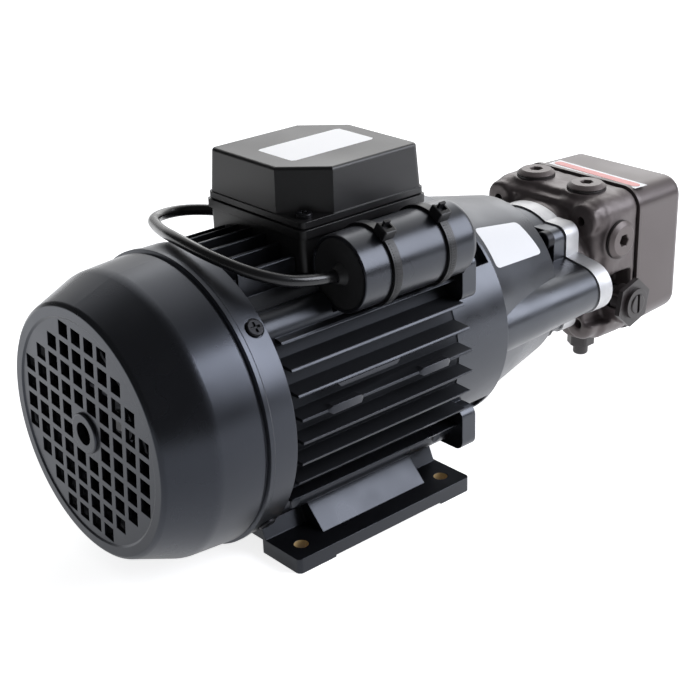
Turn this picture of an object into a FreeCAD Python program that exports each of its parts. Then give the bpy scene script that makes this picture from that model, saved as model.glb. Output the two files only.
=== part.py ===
import FreeCAD, Part
import math
import os
import Sketcher
from FreeCAD import Placement, Rotation, Vector

os.makedirs("parts", exist_ok=True)
doc = FreeCAD.newDocument("oil_burner_pump")

# Sizes in millimetres. X runs along the shaft from the fan to the pump, Z is up,
# zero is the middle of the four foot holes on the floor.
SIZES = [
    ("shaft_height", 71, "shaft centre above the floor"),
    ("foot_hole_x", 90, "foot holes apart along the shaft"),
    ("foot_hole_y", 112, "foot holes apart across"),
    ("foot_hole_radius", 3.5, "foot hole radius"),
    ("foot_length", 110, "foot length"),
    ("foot_edge", 10.5, "foot holes to the outer edge of the foot"),
    ("foot_thick", 7.5, "foot pad thickness"),
    ("frame_start", -55, "motor housing, fan end"),
    ("frame_end", 54, "motor housing, pump end"),
    ("frame_bore", 54, "housing bore radius"),
    ("frame_wall", 5.5, "housing wall"),
    ("fin_depth", 10, "fins above the housing wall"),
    ("fin_thick", 2.2, "fin thickness"),
    ("side_fin_pitch", 11, "side fins apart"),
    ("top_fin_pitch", 10.3, "top fins apart"),
    ("corner_angle", 43, "angle of the corner ribs and screws"),
    ("cover_length", 62.7, "fan cover length"),
    ("cover_radius", 70.3, "fan cover rim radius"),
    ("cover_taper", 10.8, "fan cover rim radius less its face radius"),
    ("cover_wall", 2, "fan cover wall"),
    ("grille_bar", 2.8, "bars between the grille holes"),
    ("grille_turn", 6.6, "turn of the grille about the shaft"),
    ("fan_radius", 57, "fan outer radius"),
    ("fan_blades", 8, "fan blades"),
    ("box_start", -19.5, "terminal box, fan side"),
    ("box_end", 57, "terminal box, pump side"),
    ("box_half_width", 36, "terminal box rim half width"),
    ("box_rise", 56, "underside of the box above the shaft"),
    ("base_height", 16.4, "box base up to its rim"),
    ("rim_height", 4.6, "rim of the box base"),
    ("ledge_height", 3, "screw ledges of the lid"),
    ("lid_height", 21, "lid above its ledges"),
    ("lid_corner", 18.5, "cut corner of the lid"),
    ("can_radius", 18, "capacitor radius"),
    ("can_length", 70, "capacitor length"),
    ("can_gap", 1.5, "capacitor to the box rim, across"),
    ("can_rise", 61, "capacitor centre above the shaft"),
    ("tie_one", 2, "first cable tie"),
    ("tie_two", 35.5, "second cable tie"),
    ("tie_width", 4.6, "cable tie width"),
    ("lead_radius", 2.75, "capacitor lead radius"),
    ("bell_radius", 60, "bell base radius"),
    ("bell_base", 36, "bell base length"),
    ("bell_length", 109.5, "bell length up to the adapter plate"),
    ("pocket_length", 12.5, "screw pockets of the bell"),
    ("nose_start_radius", 57, "nose radius at the base"),
    ("nose_end_radius", 46, "nose radius at the pockets"),
    ("plate_thick", 10, "adapter plate thickness"),
    ("adapter_y", 27.3, "adapter screws from the middle, across"),
    ("adapter_z", 25.6, "adapter screws from the middle, upward"),
    ("lobe_y", -43.5, "middle of the side lobe"),
    ("pump_gap", 4.5, "adapter plate to the pump front face"),
    ("pump_depth", 34, "pump body depth"),
    ("pump_half", 41.5, "pump body half width"),
    ("pump_hub", 16, "pump centring hub radius"),
    ("face_holes", 30, "tapped face holes from the middle"),
    ("port_depth", 18, "ports behind the front face"),
    ("port_offset", 18.3, "ports from the middle"),
    ("plug_radius", 9.5, "port plug collar radius"),
    ("hood_depth", 43, "pump cover depth"),
    ("bearing_bore", 7.5, "bearing bore radius"),
    ("bearing_outer", 17.5, "bearing outer radius"),
    ("bearing_width", 11, "bearing width"),
    ("stator_bore", 28.5, "stator bore radius"),
    ("air_gap", 0.4, "gap between rotor and stator"),
    ("stack_half", 30, "half length of the stator stack"),
    ("hub_radius", 19, "coupling hub radius"),
    ("pump_shaft_radius", 5, "pump shaft radius"),
    ("gear_offset", 1.4, "gear ring centre below the shaft"),
    ("gear_thick", 9, "gear thickness"),
    ("regulator_inset", 10.5, "regulator before the back face of the body"),
]
sheet = doc.addObject("Spreadsheet::Sheet", "Sizes")
for number, (alias, value, note) in enumerate(SIZES, 1):
    sheet.set("A%d" % number, note)
    sheet.set("B%d" % number, str(value))
    sheet.setAlias("B%d" % number, alias)
doc.recompute()


class Size:
    """A number together with the sheet expression that gives it."""

    def __init__(self, value, text):
        self.v = float(value)
        self.t = text

    def __add__(self, other):
        other = as_size(other)
        return Size(self.v + other.v, "(%s + %s)" % (self.t, other.t))

    def __sub__(self, other):
        other = as_size(other)
        return Size(self.v - other.v, "(%s - %s)" % (self.t, other.t))

    def __mul__(self, other):
        other = as_size(other)
        return Size(self.v * other.v, "(%s * %s)" % (self.t, other.t))

    def __truediv__(self, other):
        other = as_size(other)
        return Size(self.v / other.v, "(%s / %s)" % (self.t, other.t))

    def __neg__(self):
        return Size(-self.v, "(0 - %s)" % self.t)

    __radd__ = __add__

    def __rsub__(self, other):
        return as_size(other) - self

    __rmul__ = __mul__


def as_size(value):
    return value if isinstance(value, Size) else Size(value, repr(float(value)))


def size(alias):
    return Size(sheet.get(alias), "Sizes." + alias)


# Places that follow from the sizes
AXIS = size("shaft_height")
FRAME_CORE = size("frame_bore") + size("frame_wall")
FIN_RADIUS = FRAME_CORE + size("fin_depth")
CORNER_RADIUS = size("frame_bore") + 7
FOOT_HALF = size("foot_hole_y") / 2 + size("foot_edge")
COVER_END = size("frame_start") - 0.3
COVER_FACE = COVER_END - size("cover_length")
FACE_RADIUS = size("cover_radius") - size("cover_taper")
GRILLE_PITCH = FACE_RADIUS / 5.95
BOX_FLOOR = AXIS + size("box_rise")
BOX_RIM = BOX_FLOOR + size("base_height")
BOX_SPLIT = BOX_RIM + size("rim_height")
LID_LEDGE = BOX_SPLIT + size("ledge_height")
LID_TOP = LID_LEDGE + size("lid_height")
GLAND_Z = BOX_FLOOR + size("base_height") / 2
CAN_Y = -(size("box_half_width") + size("can_gap") + size("can_radius"))
CAN_Z = AXIS + size("can_rise")
CAN_START = size("frame_end") - size("can_length")
BELL_STEP = size("frame_end") + size("bell_base")
PLATE_FRONT = size("frame_end") + size("bell_length")
NOSE_END = PLATE_FRONT - 9 - size("pocket_length")
PUMP_FRONT = PLATE_FRONT + size("plate_thick") + size("pump_gap")
PUMP_BACK = PUMP_FRONT + size("pump_depth")
PORT_X = PUMP_FRONT + size("port_depth")
HOOD_END = PUMP_BACK + size("hood_depth")
REGULATOR_X = PUMP_BACK - size("regulator_inset")
ROTOR_RADIUS = size("stator_bore") - size("air_gap")
XAXIS = Vector(1, 0, 0)
nodes = {}
used = set()


def fresh(name):
    count = 1
    while "%s_%d" % (name, count) in used:
        count += 1
    used.add("%s_%d" % (name, count))
    return "%s_%d" % (name, count)


def bind(obj, prop, value):
    obj.setExpression(prop, as_size(value).t)


def place(obj, x=0, y=0, z=0, turn=None):
    x, y, z = as_size(x), as_size(y), as_size(z)
    obj.Placement = Placement(Vector(x.v, y.v, z.v), turn or Rotation())
    for axis, value in (("x", x), ("y", y), ("z", z)):
        bind(obj, "Placement.Base." + axis, value)


def node(name, obj):
    """Names the finished object of a sub-part."""
    obj.Label = name
    nodes[name] = obj
    return obj


# Solids and booleans whose sizes are bound to the sheet
def block(x0, x1, y0, y1, z0, z1):
    obj = doc.addObject("Part::Box", fresh("block"))
    for prop, low, high in (("Length", x0, x1), ("Width", y0, y1), ("Height", z0, z1)):
        bind(obj, prop, as_size(high) - low)
    place(obj, x0, y0, z0)
    return obj


TURNS = {"x": Rotation(Vector(0, 1, 0), 90), "y": Rotation(Vector(1, 0, 0), -90), "z": Rotation()}


def rod(axis, start, end, radius, y=0, z=0, x=0):
    """Cylinder along an axis from start to end; the other two coordinates are its centre."""
    obj = doc.addObject("Part::Cylinder", fresh("rod"))
    bind(obj, "Radius", radius)
    bind(obj, "Height", as_size(end) - start)
    at = {"x": (start, y, z), "y": (x, start, z), "z": (x, y, start)}[axis]
    place(obj, at[0], at[1], at[2], TURNS[axis])
    return obj


def join(*parts):
    obj = doc.addObject("Part::MultiFuse", fresh("join"))
    obj.Shapes = list(parts)
    return obj


def remove(base, *tools):
    obj = doc.addObject("Part::Cut", fresh("cut"))
    obj.Base = base
    obj.Tool = tools[0] if len(tools) == 1 else join(*tools)
    return obj


def group(*parts):
    obj = doc.addObject("Part::Compound", fresh("group"))
    obj.Links = list(parts)
    return obj


def shaped(shape, name="shape"):
    """Holds a shape made by functions, where no single feature fits."""
    obj = doc.addObject("Part::Feature", fresh(name))
    obj.Shape = shape
    return obj


# Bodies with a bound sketch
def sketch_on(body, plane, name):
    sketch = body.newObject("Sketcher::SketchObject", fresh(name))
    origin = [f for f in body.Origin.OriginFeatures if f.Role == plane][0]
    sketch.AttachmentSupport = [(origin, "")]
    sketch.MapMode = "FlatFace"
    return sketch


def outline(sketch, points):
    """Closed outline; each corner is held by two sizes."""
    points = [(as_size(a), as_size(b)) for a, b in points]
    first = sketch.GeometryCount
    count = len(points)
    for i in range(count):
        a, b = points[i], points[(i + 1) % count]
        sketch.addGeometry(Part.LineSegment(Vector(a[0].v, a[1].v, 0), Vector(b[0].v, b[1].v, 0)))
    for i in range(count):
        here = first + i
        sketch.addConstraint(Sketcher.Constraint("Coincident", here, 2, first + (i + 1) % count, 1))
    for i in range(count):
        for kind, value in (("DistanceX", points[i][0]), ("DistanceY", points[i][1])):
            index = sketch.addConstraint(Sketcher.Constraint(kind, first + i, 1, value.v))
            if "Sizes" in value.t:
                sketch.setExpression("Constraints[%d]" % index, value.t)


def ring(sketch, radius, a=0, b=0):
    radius, a, b = as_size(radius), as_size(a), as_size(b)
    g = sketch.addGeometry(Part.Circle(Vector(a.v, b.v, 0), Vector(0, 0, 1), radius.v))
    for kind, value in (("DistanceX", a), ("DistanceY", b)):
        index = sketch.addConstraint(Sketcher.Constraint(kind, g, 3, value.v))
        if "Sizes" in value.t:
            sketch.setExpression("Constraints[%d]" % index, value.t)
    index = sketch.addConstraint(Sketcher.Constraint("Radius", g, radius.v))
    sketch.setExpression("Constraints[%d]" % index, radius.t)


def turned(name, points, y=0, z=None):
    """Body turned about the shaft line from (x, radius) points."""
    body = doc.addObject("PartDesign::Body", fresh(name))
    sketch = sketch_on(body, "XZ_Plane", name + "_profile")
    outline(sketch, points)
    feature = body.newObject("PartDesign::Revolution", fresh(name + "_turn"))
    feature.Profile = sketch
    feature.ReferenceAxis = (sketch, ["H_Axis"])
    feature.Angle = 360
    place(body, 0, y, AXIS if z is None else z)
    return body


def padded(name, plane, length, at, points=None, rings=()):
    """Body padded from an outline or circles in one of its own planes."""
    body = doc.addObject("PartDesign::Body", fresh(name))
    sketch = sketch_on(body, plane, name + "_sketch")
    if points:
        outline(sketch, points)
    for item in rings:
        ring(sketch, *item)
    feature = body.newObject("PartDesign::Pad", fresh(name + "_pad"))
    feature.Profile = sketch
    bind(feature, "Length", length)
    place(body, *at)
    return body


def corner_places(radius, angle=None):
    """The four (y, z) places at the corner angle, z from the floor."""
    angle = size("corner_angle") if angle is None else angle
    across = Size(math.cos(math.radians(angle.v)), "cos(%s * 1 deg)" % angle.t) * radius
    upward = Size(math.sin(math.radians(angle.v)), "sin(%s * 1 deg)" % angle.t) * radius
    return [(sy * across, AXIS + sz * upward, sy, sz) for sy in (-1, 1) for sz in (-1, 1)]


def rounded_box(x0, x1, y0, y1, z0, z1, radius):
    """Upright box with rounded upright corners."""
    solid = Part.makeBox(x1 - x0, y1 - y0, z1 - z0, Vector(x0, y0, z0))
    upright = [e for e in solid.Edges if abs(e.tangentAt(e.FirstParameter).z) > 0.9]
    return solid.makeFillet(radius, upright)


def polygon_face(points):
    wire = Part.makePolygon([Vector(*p) for p in points] + [Vector(*points[0])])
    return Part.Face(wire)


def edges_at(solid, test):
    return [e for e in solid.Edges if test(e)]


def along_x(edge):
    return abs(edge.tangentAt(edge.FirstParameter).x) > 0.9


def screw_solid(base, way, shank, length, head, height, hex_across=0, slot=0, cross=0):
    """One screw: shank into the work, head outside, with its drive recess."""
    way = Vector(way)
    way.normalize()
    solid = Part.makeCylinder(shank, length, base, way)
    top = Part.makeCylinder(head, height, base, -way)
    rim = [e for e in top.Edges if e.Length > 2 and abs((e.CenterOfMass - base).dot(-way) - height) < 1e-6]
    top = top.makeFillet(min(height * 0.35, 0.9), rim)
    solid = solid.fuse(top).removeSplitter()
    face = base - way * height
    side = way.cross(Vector(0, 0, 1))
    if side.Length < 0.1:
        side = way.cross(Vector(0, 1, 0))
    side.normalize()
    up = way.cross(side)
    if hex_across:
        r = hex_across / math.sqrt(3)
        points = []
        for k in range(7):
            a = math.radians(60 * k)
            points.append(face + side * (r * math.cos(a)) + up * (r * math.sin(a)))
        solid = solid.cut(Part.Face(Part.makePolygon(points)).extrude(way * (height * 0.65)))
    for wide, direction, other in ((slot, side, up), (cross, side, up), (cross, up, side)):
        if not wide:
            continue
        reach = head * (1.2 if slot else 0.6)
        a = face + direction * reach + other * (wide / 2)
        b = face - direction * reach + other * (wide / 2)
        c = face - direction * reach - other * (wide / 2)
        d = face + direction * reach - other * (wide / 2)
        solid = solid.cut(Part.Face(Part.makePolygon([a, b, c, d, a])).extrude(way * (height * 0.5)))
    return solid


def fixing_places():
    """The four screws that hold the box base on the housing."""
    across = size("box_half_width") - 12
    return [(x, y) for x in (size("box_start") + 16.5, size("box_end") - 18) for y in (-across, across)]


# Motor housing: one casting with fins, corner ribs, feet and the terminal box pad
def can_cylinder(radius, x0, x1):
    return Part.makeCylinder(radius, x1 - x0, Vector(x0, CAN_Y.v, CAN_Z.v), XAXIS)


def tie_loop(radius, tip, grow, x0, wide):
    """Flat loop of a cable tie: round the capacitor and down to a narrow tip."""
    cy, cz, za = CAN_Y.v, CAN_Z.v, AXIS.v
    down = Vector(0, -cy, za - cz)
    down.normalize()
    side = Vector(0, -down.z, down.y)
    big, small = radius + grow, tip + grow
    far = radius + 2.2
    tilt = math.acos((big - small) / far)
    middle = Vector(x0, cy, cz)
    low = middle + down * far

    def spot(centre, r, angle):
        return centre + down * (r * math.cos(angle)) + side * (r * math.sin(angle))

    edges = [
        Part.Arc(spot(middle, big, tilt), spot(middle, big, math.pi), spot(middle, big, -tilt)).toShape(),
        Part.LineSegment(spot(middle, big, -tilt), spot(low, small, -tilt)).toShape(),
        Part.Arc(spot(low, small, -tilt), spot(low, small, 0), spot(low, small, tilt)).toShape(),
        Part.LineSegment(spot(low, small, tilt), spot(middle, big, tilt)).toShape(),
    ]
    return Part.Face(Part.Wire(edges)).extrude(Vector(wide, 0, 0))


def tie_band(x, wide, inner, outer):
    radius = size("can_radius").v + 0.15
    x0 = x - wide / 2
    loop = tie_loop(radius, 2.0, outer, x0, wide)
    return loop.cut(tie_loop(radius, 2.0, inner, x0, wide))


def foot_pad(x0, x1, y0, y1, thick):
    """Foot pad with rounded upright corners."""
    points = [(x0, y0), (x1, y0), (x1, y1), (x0, y1)]
    body = padded("pad", "XY_Plane", thick, (0, 0, 0), points)
    doc.recompute()
    solid = body.Shape.copy()
    upright = edges_at(solid, lambda e: abs(e.tangentAt(e.FirstParameter).z) > 0.9)
    outer = [e for e in upright if abs(e.CenterOfMass.y) > 50]
    return shaped(solid.makeFillet(2.5, outer), "pad_rounded")


def make_housing():
    x0, x1 = size("frame_start"), size("frame_end")
    za = AXIS
    half = size("fin_thick") / 2
    fins = []
    for k in range(8):
        z = za + size("side_fin_pitch") * 3.59 - k * size("side_fin_pitch")
        fins.append(block(x0 + 4, x1, -80, 80, z - half, z + half))
    for k in range(7):
        y = (k - 2.75) * size("top_fin_pitch")
        fins.append(block(x0 + 4, size("box_start") + 0.6, y - half, y + half, za + 30, za + FIN_RADIUS + 9))
    fins = join(*fins)
    ribs = []
    for y, z, sy, sz in corner_places(CORNER_RADIUS):
        ribs.append(rod("x", x0, x1, 8.5, y=y, z=z))
    envelope = rod("x", x0, x1, FIN_RADIUS, z=za)
    core = rod("x", x0, x1, FRAME_CORE, z=za)
    trimmed = doc.addObject("Part::MultiCommon", fresh("trim"))
    trimmed.Shapes = [fins, envelope]
    half_pad = size("box_half_width") - 2.8
    pad = block(size("box_start") + 2.5, size("frame_end"), -half_pad, half_pad, za + 30, BOX_FLOOR)
    # long raised marks on the fins that face the capacitor side
    marks = []
    for start in (-23, 24):
        marks.append(block(start, start + 17, -(FIN_RADIUS + 0.8), -(FIN_RADIUS - 3.5), za + 3.4, za + 9.6))
    marks.append(block(-24, 8, -(FIN_RADIUS - 2), -(FIN_RADIUS - 5.5), za + 13.2, za + 16.8))
    feet = []
    hx, hy = size("foot_length") / 2, FOOT_HALF
    low = size("foot_thick") - 0.5
    for s in (-1, 1):
        y_low, y_high = (-hy, -40) if s < 0 else (40, hy)
        feet.append(foot_pad(-hx, hx, y_low, y_high, size("foot_thick")))
        # sloping web along the whole foot, and the longer gusset between its holes
        web = [(s * 42.5, low), (s * 30, low), (s * 30, za - 33), (s * 33.5, za - 44)]
        feet.append(padded("web", "YZ_Plane", x1 - 0.05 + hx, (-hx, 0, 0), web))
        gusset = [(s * (hy - 10.8), low), (s * 32, low), (s * 32, za - 40), (s * (hy - 28.5), za - 46)]
        start = -(size("foot_hole_x") / 2 - 14)
        feet.append(padded("gusset", "YZ_Plane", size("foot_hole_x") - 24.3, (start, 0, 0), gusset))
    solid = join(core, trimmed, pad, *(ribs + marks + feet))
    holes = [rod("x", x0 - 1, x1 + 1, size("frame_bore"), z=za)]
    for sx in (-1, 1):
        for sy in (-1, 1):
            x, y = sx * size("foot_hole_x") / 2, sy * size("foot_hole_y") / 2
            holes.append(rod("z", -1, size("foot_thick") + 1, size("foot_hole_radius"), x=x, y=y))
            holes.append(rod("z", size("foot_thick") + 0.5, za - 39.5, size("foot_hole_radius") + 0.7, x=x, y=y))
    for y, z, sy, sz in corner_places(CORNER_RADIUS - 4.2, as_size(65)):
        holes.append(rod("x", x0 - 1, x0 + 12, 1.65, y=y, z=z))
    for y, z, sy, sz in corner_places(CORNER_RADIUS):
        holes.append(rod("x", x1 - 16, x1 + 1, 2.1, y=y, z=z))
    holes.append(block(-33, 35, -80, 80, -1, 1))
    across = size("box_half_width")
    holes.append(block(size("box_start") + 0.6, x1 + 1, -across, across, BOX_FLOOR, FIN_RADIUS + za + 5))
    holes.append(rod("z", BOX_FLOOR - 25, BOX_FLOOR + 5, 10, x=18, y=0))
    for x, y in fixing_places():
        holes.append(rod("z", BOX_FLOOR - 9, BOX_FLOOR + 1, 1.65, x=x, y=y))
    holes.append(rod("x", CAN_START - 2, x1 + 1, size("can_radius") + 0.3,
                     y=CAN_Y, z=CAN_Z))
    slots = []
    for x in (size("tie_one").v, size("tie_two").v):
        slots.append(tie_band(x, size("tie_width").v + 0.8, -0.25, 1.6))
    holes.append(shaped(slots[0].fuse(slots[1]), "tie_slots"))
    return node("motor_housing", remove(solid, *holes))


make_housing()


# Motor inside: stack, windings, rotor, shaft and bearings
def make_motor_inside():
    half = size("stack_half")
    bore, outer = size("stator_bore"), size("frame_bore") - 0.05
    stack = padded("stack", "YZ_Plane", half * 2, (-half, 0, AXIS), rings=[(outer,), (bore,)])
    slot = padded("slot", "YZ_Plane", half * 2 + 2, (-half - 1, 0, AXIS),
                  [(bore + 2.5, -2.6), (bore + 14.5, -3.6), (bore + 14.5, 3.6), (bore + 2.5, 2.6)])
    slots = [slot]
    coil_bars = []
    doc.recompute()
    cut_shape = slot.Shape.copy()
    for k in range(12):
        turn = Rotation(XAXIS, 30 * k)
        if k:
            turned_slot = cut_shape.copy()
            turned_slot.rotate(Vector(0, 0, AXIS.v), XAXIS, 30 * k)
            slots.append(shaped(turned_slot, "slot_copy"))
        bar = Part.makeBox(half.v * 2 + 8, 7.5, 4.6, Vector(-half.v - 4, bore.v + 5.5, -2.3))
        bar.Placement = Placement(Vector(0, 0, AXIS.v), turn)
        coil_bars.append(bar)
    node("stator_core", remove(stack, *slots))
    h = half.v
    left = Part.makeCylinder(size("frame_bore").v - 6, 14, Vector(-h - 16, 0, AXIS.v), XAXIS)
    left = left.cut(Part.makeCylinder(bore.v + 3, 16, Vector(-h - 17, 0, AXIS.v), XAXIS))
    ends = edges_at(left, lambda e: e.Length > 250 and abs(e.CenterOfMass.x + h + 16) < 0.1)
    left = left.makeFillet(4, ends)
    right = left.mirror(Vector(0, 0, 0), XAXIS)
    coils = left.multiFuse(coil_bars + [right]).removeSplitter()
    node("stator_windings", shaped(coils, "coils"))
    stack_radius = ROTOR_RADIUS
    core = turned("rotor_stack", [(-half, 9), (half, 9), (half, stack_radius), (-half, stack_radius)])
    node("rotor_core", core)
    rings = []
    for s in (-1, 1):
        a, b = s * half, s * (half + 7)
        rings.append(turned("end_ring", [(a, 15), (b, 15), (b, stack_radius - 3.1), (a, stack_radius - 1.6)]))
    node("rotor_end_rings", group(*rings))
    width = size("bearing_width")
    b = size("bearing_bore")
    back = size("frame_start") - 10
    front = size("frame_end") + 2
    tail, nose = size("frame_start"), size("frame_end")
    seats = [(tail - 46, 0), (tail - 46, 4.95), (tail - 22, 4.95), (tail - 22, 6.5), (back, 6.5),
             (back, b - 0.02), (back + width, b - 0.02), (back + width, 8.95), (front, 8.95),
             (front, b - 0.02), (front + width, b - 0.02), (front + width, 6.95), (nose + 63, 6.95),
             (nose + 64, 6), (nose + 64, 0)]
    shaft = turned("shaft", seats)
    key = block(nose + 43, nose + 61, -2, 2, AXIS + 4, AXIS + 10)
    node("motor_shaft", remove(shaft, key))
    node("shaft_key", block(nose + 43.1, nose + 60.9, -1.98, 1.98, AXIS + 4.02, AXIS + 8.4))
    races, inners, cages = [], [], []
    for start in (back, front):
        end = start + width
        races.append(turned("race", [
            (start, 12.1), (start + 0.8, 12.1), (start + 0.8, 14.6), (end - 0.8, 14.6),
            (end - 0.8, 12.1), (end, 12.1), (end, size("bearing_outer") - 0.02),
            (start, size("bearing_outer") - 0.02)]))
        inners.append(turned("inner", [(start, b), (end, b), (end, 11.6), (start, 11.6)]))
        cages.append(turned("cage", [
            (start + 1.6, 12), (end - 1.6, 12), (end - 1.6, 14.2), (start + 1.6, 14.2)]))
    node("bearing_outer_rings", group(*races))
    node("bearing_inner_rings", group(*inners))
    node("bearing_ball_cages", group(*cages))


make_motor_inside()


# Fan end: shield, fan and fan cover
def make_fan_end():
    x0 = size("frame_start")
    seat, plug = size("bearing_outer"), size("frame_bore") - 0.04
    profile = [(x0 - 10, seat), (x0 + 1, seat), (x0 + 1, plug - 5), (x0 + 5, plug - 5), (x0 + 5, plug),
               (x0, plug), (x0, plug + 5), (x0 - 5, plug + 5), (x0 - 5, plug - 4), (x0 - 6.5, seat + 8.5),
               (x0 - 12, seat + 4.5), (x0 - 12, 9.5), (x0 - 10, 9.5)]
    disc = turned("shield", profile)
    lugs = []
    holes = []
    for y, z, sy, sz in corner_places(size("cover_radius") - 9.3):
        lugs.append(rod("x", x0 - 10, x0, 7.3, y=y, z=z))
        arm = Part.makeBox(10, size("cover_radius").v - 59.3, 12, Vector(x0.v - 10, 50, -6))
        arm.rotate(Vector(0, 0, 0), XAXIS, math.degrees(math.atan2((z - AXIS).v, y.v)))
        arm.translate(Vector(0, 0, AXIS.v))
        lugs.append(shaped(arm, "arm"))
    for y, z, sy, sz in corner_places(CORNER_RADIUS - 4.2, as_size(65)):
        holes.append(rod("x", x0 - 11, x0 + 1, 1.7, y=y, z=z))
    inside = rod("x", x0 - 10, x0 + 5, size("cover_radius") - size("cover_wall") - 0.8, z=AXIS)
    lug_group = doc.addObject("Part::MultiCommon", fresh("trim"))
    lug_group.Shapes = [join(*lugs), inside]
    angle = math.radians(size("corner_angle").v)
    taps = []
    for sy in (-1, 1):
        for sz in (-1, 1):
            way = Vector(0, sy * math.cos(angle), sz * math.sin(angle))
            start = Vector(x0.v - 5.5, 0, AXIS.v) + way * (size("cover_radius").v - 12.3)
            taps.append(Part.makeCylinder(1.65, 14, start, way))
    tap = shaped(taps[0].multiFuse(taps[1:]), "taps")
    bore = rod("x", x0 - 11, x0 + 6, 9.5, z=AXIS)
    node("fan_end_shield", remove(join(disc, lug_group), tap, bore, *holes))
    screws = []
    for y, z, sy, sz in corner_places(CORNER_RADIUS - 4.2, as_size(65)):
        base = Vector(x0.v - 5.03, y.v, z.v)
        screws.append(screw_solid(base, Vector(1, 0, 0), 1.6, 15, 3.0, 2.4, cross=1.0))
    node("shield_screws", shaped(Part.makeCompound(screws), "screws"))

    # fan: hub, back plate and straight blades
    hub = turned("fan_hub", [
        (x0 - 45, 5), (x0 - 23, 5), (x0 - 23, 12), (x0 - 25, 14), (x0 - 25, size("fan_radius") - 3),
        (x0 - 27, size("fan_radius") - 3), (x0 - 27, 13), (x0 - 45, 10)])
    blades = []
    count = int(size("fan_blades").v)
    tip = size("fan_radius").v
    for k in range(count):
        corners = ((-27.5, 12), (-25, 12), (-25, tip), (-41, tip), (-41, 30), (-38, 12))
        blade = polygon_face([(x0.v + x, r, -1) for x, r in corners])
        blade = blade.extrude(Vector(0, 0, 2))
        blade.Placement = Placement(Vector(0, 0, AXIS.v), Rotation(XAXIS, 360.0 * k / count + 12))
        blades.append(blade)
    blades = shaped(blades[0].multiFuse(blades[1:]), "blades")
    node("cooling_fan", join(hub, blades))


make_fan_end()


def make_fan_cover():
    face, end = COVER_FACE.v, COVER_END.v
    rf, rc, w = FACE_RADIUS.v, size("cover_radius").v, size("cover_wall").v
    # outside: cone from the face to the shoulder, then nearly straight up to the groove and the rim
    shoulder = face + 23
    groove = end - 17.1
    outer = [(face, rf - 1.6), (face + 1.2, rf), (shoulder, rc - 2.3), (groove, rc - 0.8),
             (groove + 0.6, rc - 1.7), (groove + 1.6, rc - 1.7), (groove + 2.2, rc + 0.5),
             (groove + 4.4, rc + 0.5), (groove + 5, rc), (end, rc)]
    inner = [(end, rc - w), (groove + 0.4, rc - w - 0.6), (shoulder, rc - 2.3 - w),
             (face + 6, rf - w), (face + 4.5, rf - 6), (face + 2.6, rf - 7.5)]
    centre = [(face + 2.6, 0), (face + 0.7, 0), (face + 0.7, rf - 7), (face, rf - 6)]
    shell = polygon_face([(x, 0, r) for x, r in outer + inner + centre]).revolve(Vector(0, 0, 0), XAXIS, 360)
    shell = Part.makeSolid(shell.Shells[0]) if shell.ShapeType != "Solid" else shell

    def circles(x, r):
        return edges_at(shell, lambda e: hasattr(e.Curve, "Radius") and abs(e.Curve.Radius - r) < 1e-3
                        and abs(e.Curve.Center.x - x) < 1e-3)

    shell = shell.makeFillet(14, circles(shoulder, rc - 2.3))
    shell = shell.makeFillet(2.6, circles(face + 1.2, rf))
    shell = shell.makeFillet(1.2, circles(face, rf - 1.6))
    boss = Part.makeCylinder(9.5, 3.4, Vector(face - 0.8, 0, 0), XAXIS)
    rim = edges_at(boss, lambda e: abs(e.CenterOfMass.x - face + 0.8) < 1e-6 and e.Length > 20)
    boss = boss.makeFillet(0.8, rim)
    shell = shell.fuse(boss).removeSplitter()
    rows = (4, 6, 8, 10, 10, 10, 10, 8, 6, 4)
    pitch = GRILLE_PITCH.v
    hole = pitch - size("grille_bar").v
    cuts = [Part.makeCylinder(5.4, 8, Vector(face - 2, 0, 0), XAXIS)]
    for r, count in enumerate(rows):
        for c in range(10):
            inside = abs(c - 4.5) < count / 2.0
            middle = r in (4, 5) and c in (4, 5)
            if inside and not middle:
                y, z = (4.5 - c) * pitch, (4.5 - r) * pitch
                cuts.append(Part.makeBox(11, hole, hole, Vector(face - 2, y - hole / 2, z - hole / 2)))
    grille = cuts[0].multiFuse(cuts[1:])
    grille.rotate(Vector(0, 0, 0), XAXIS, size("grille_turn").v)
    angle = math.radians(size("corner_angle").v)
    for sy in (-1, 1):
        for sz in (-1, 1):
            way = Vector(0, sy * math.cos(angle), sz * math.sin(angle))
            start = Vector(size("frame_start").v - 5.5, 0, 0)
            shell = shell.cut(Part.makeCylinder(2.15, 12, start + way * (rc - 6.3), way))
            shell = shell.cut(Part.makeCylinder(4.6, 5, start + way * (rc - 1.1), way))
    shell = shell.cut(grille)
    cover = shaped(shell, "cover")
    place(cover, 0, 0, AXIS)
    node("fan_cover", cover)
    screws = []
    for sy in (-1, 1):
        for sz in (-1, 1):
            way = Vector(0, sy * math.cos(angle), sz * math.sin(angle))
            base = Vector(size("frame_start").v - 5.5, 0, AXIS.v) + way * (rc - 1.1)
            screws.append(screw_solid(base, way * -1, 1.6, 10, 4.1, 2.2, cross=1.1))
    node("fan_cover_screws", shaped(Part.makeCompound(screws), "screws"))


make_fan_cover()


# Terminal box
def box_plan(grow, z, cut):
    """Plan of the box at one height: rectangle with two opposite cut corners."""
    x0, x1 = size("box_start").v + 1 - grow, size("box_end").v - 1 + grow
    y = size("box_half_width").v - 1 + grow
    if cut:
        points = [(x0 + cut, -y), (x1, -y), (x1, y - cut), (x1 - cut, y), (x0, y), (x0, cut - y)]
    else:
        points = [(x0, -y), (x1, -y), (x1, y), (x0, y)]
    return Part.makePolygon([Vector(a, b, z) for a, b in points] + [Vector(points[0][0], points[0][1], z)])


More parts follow.
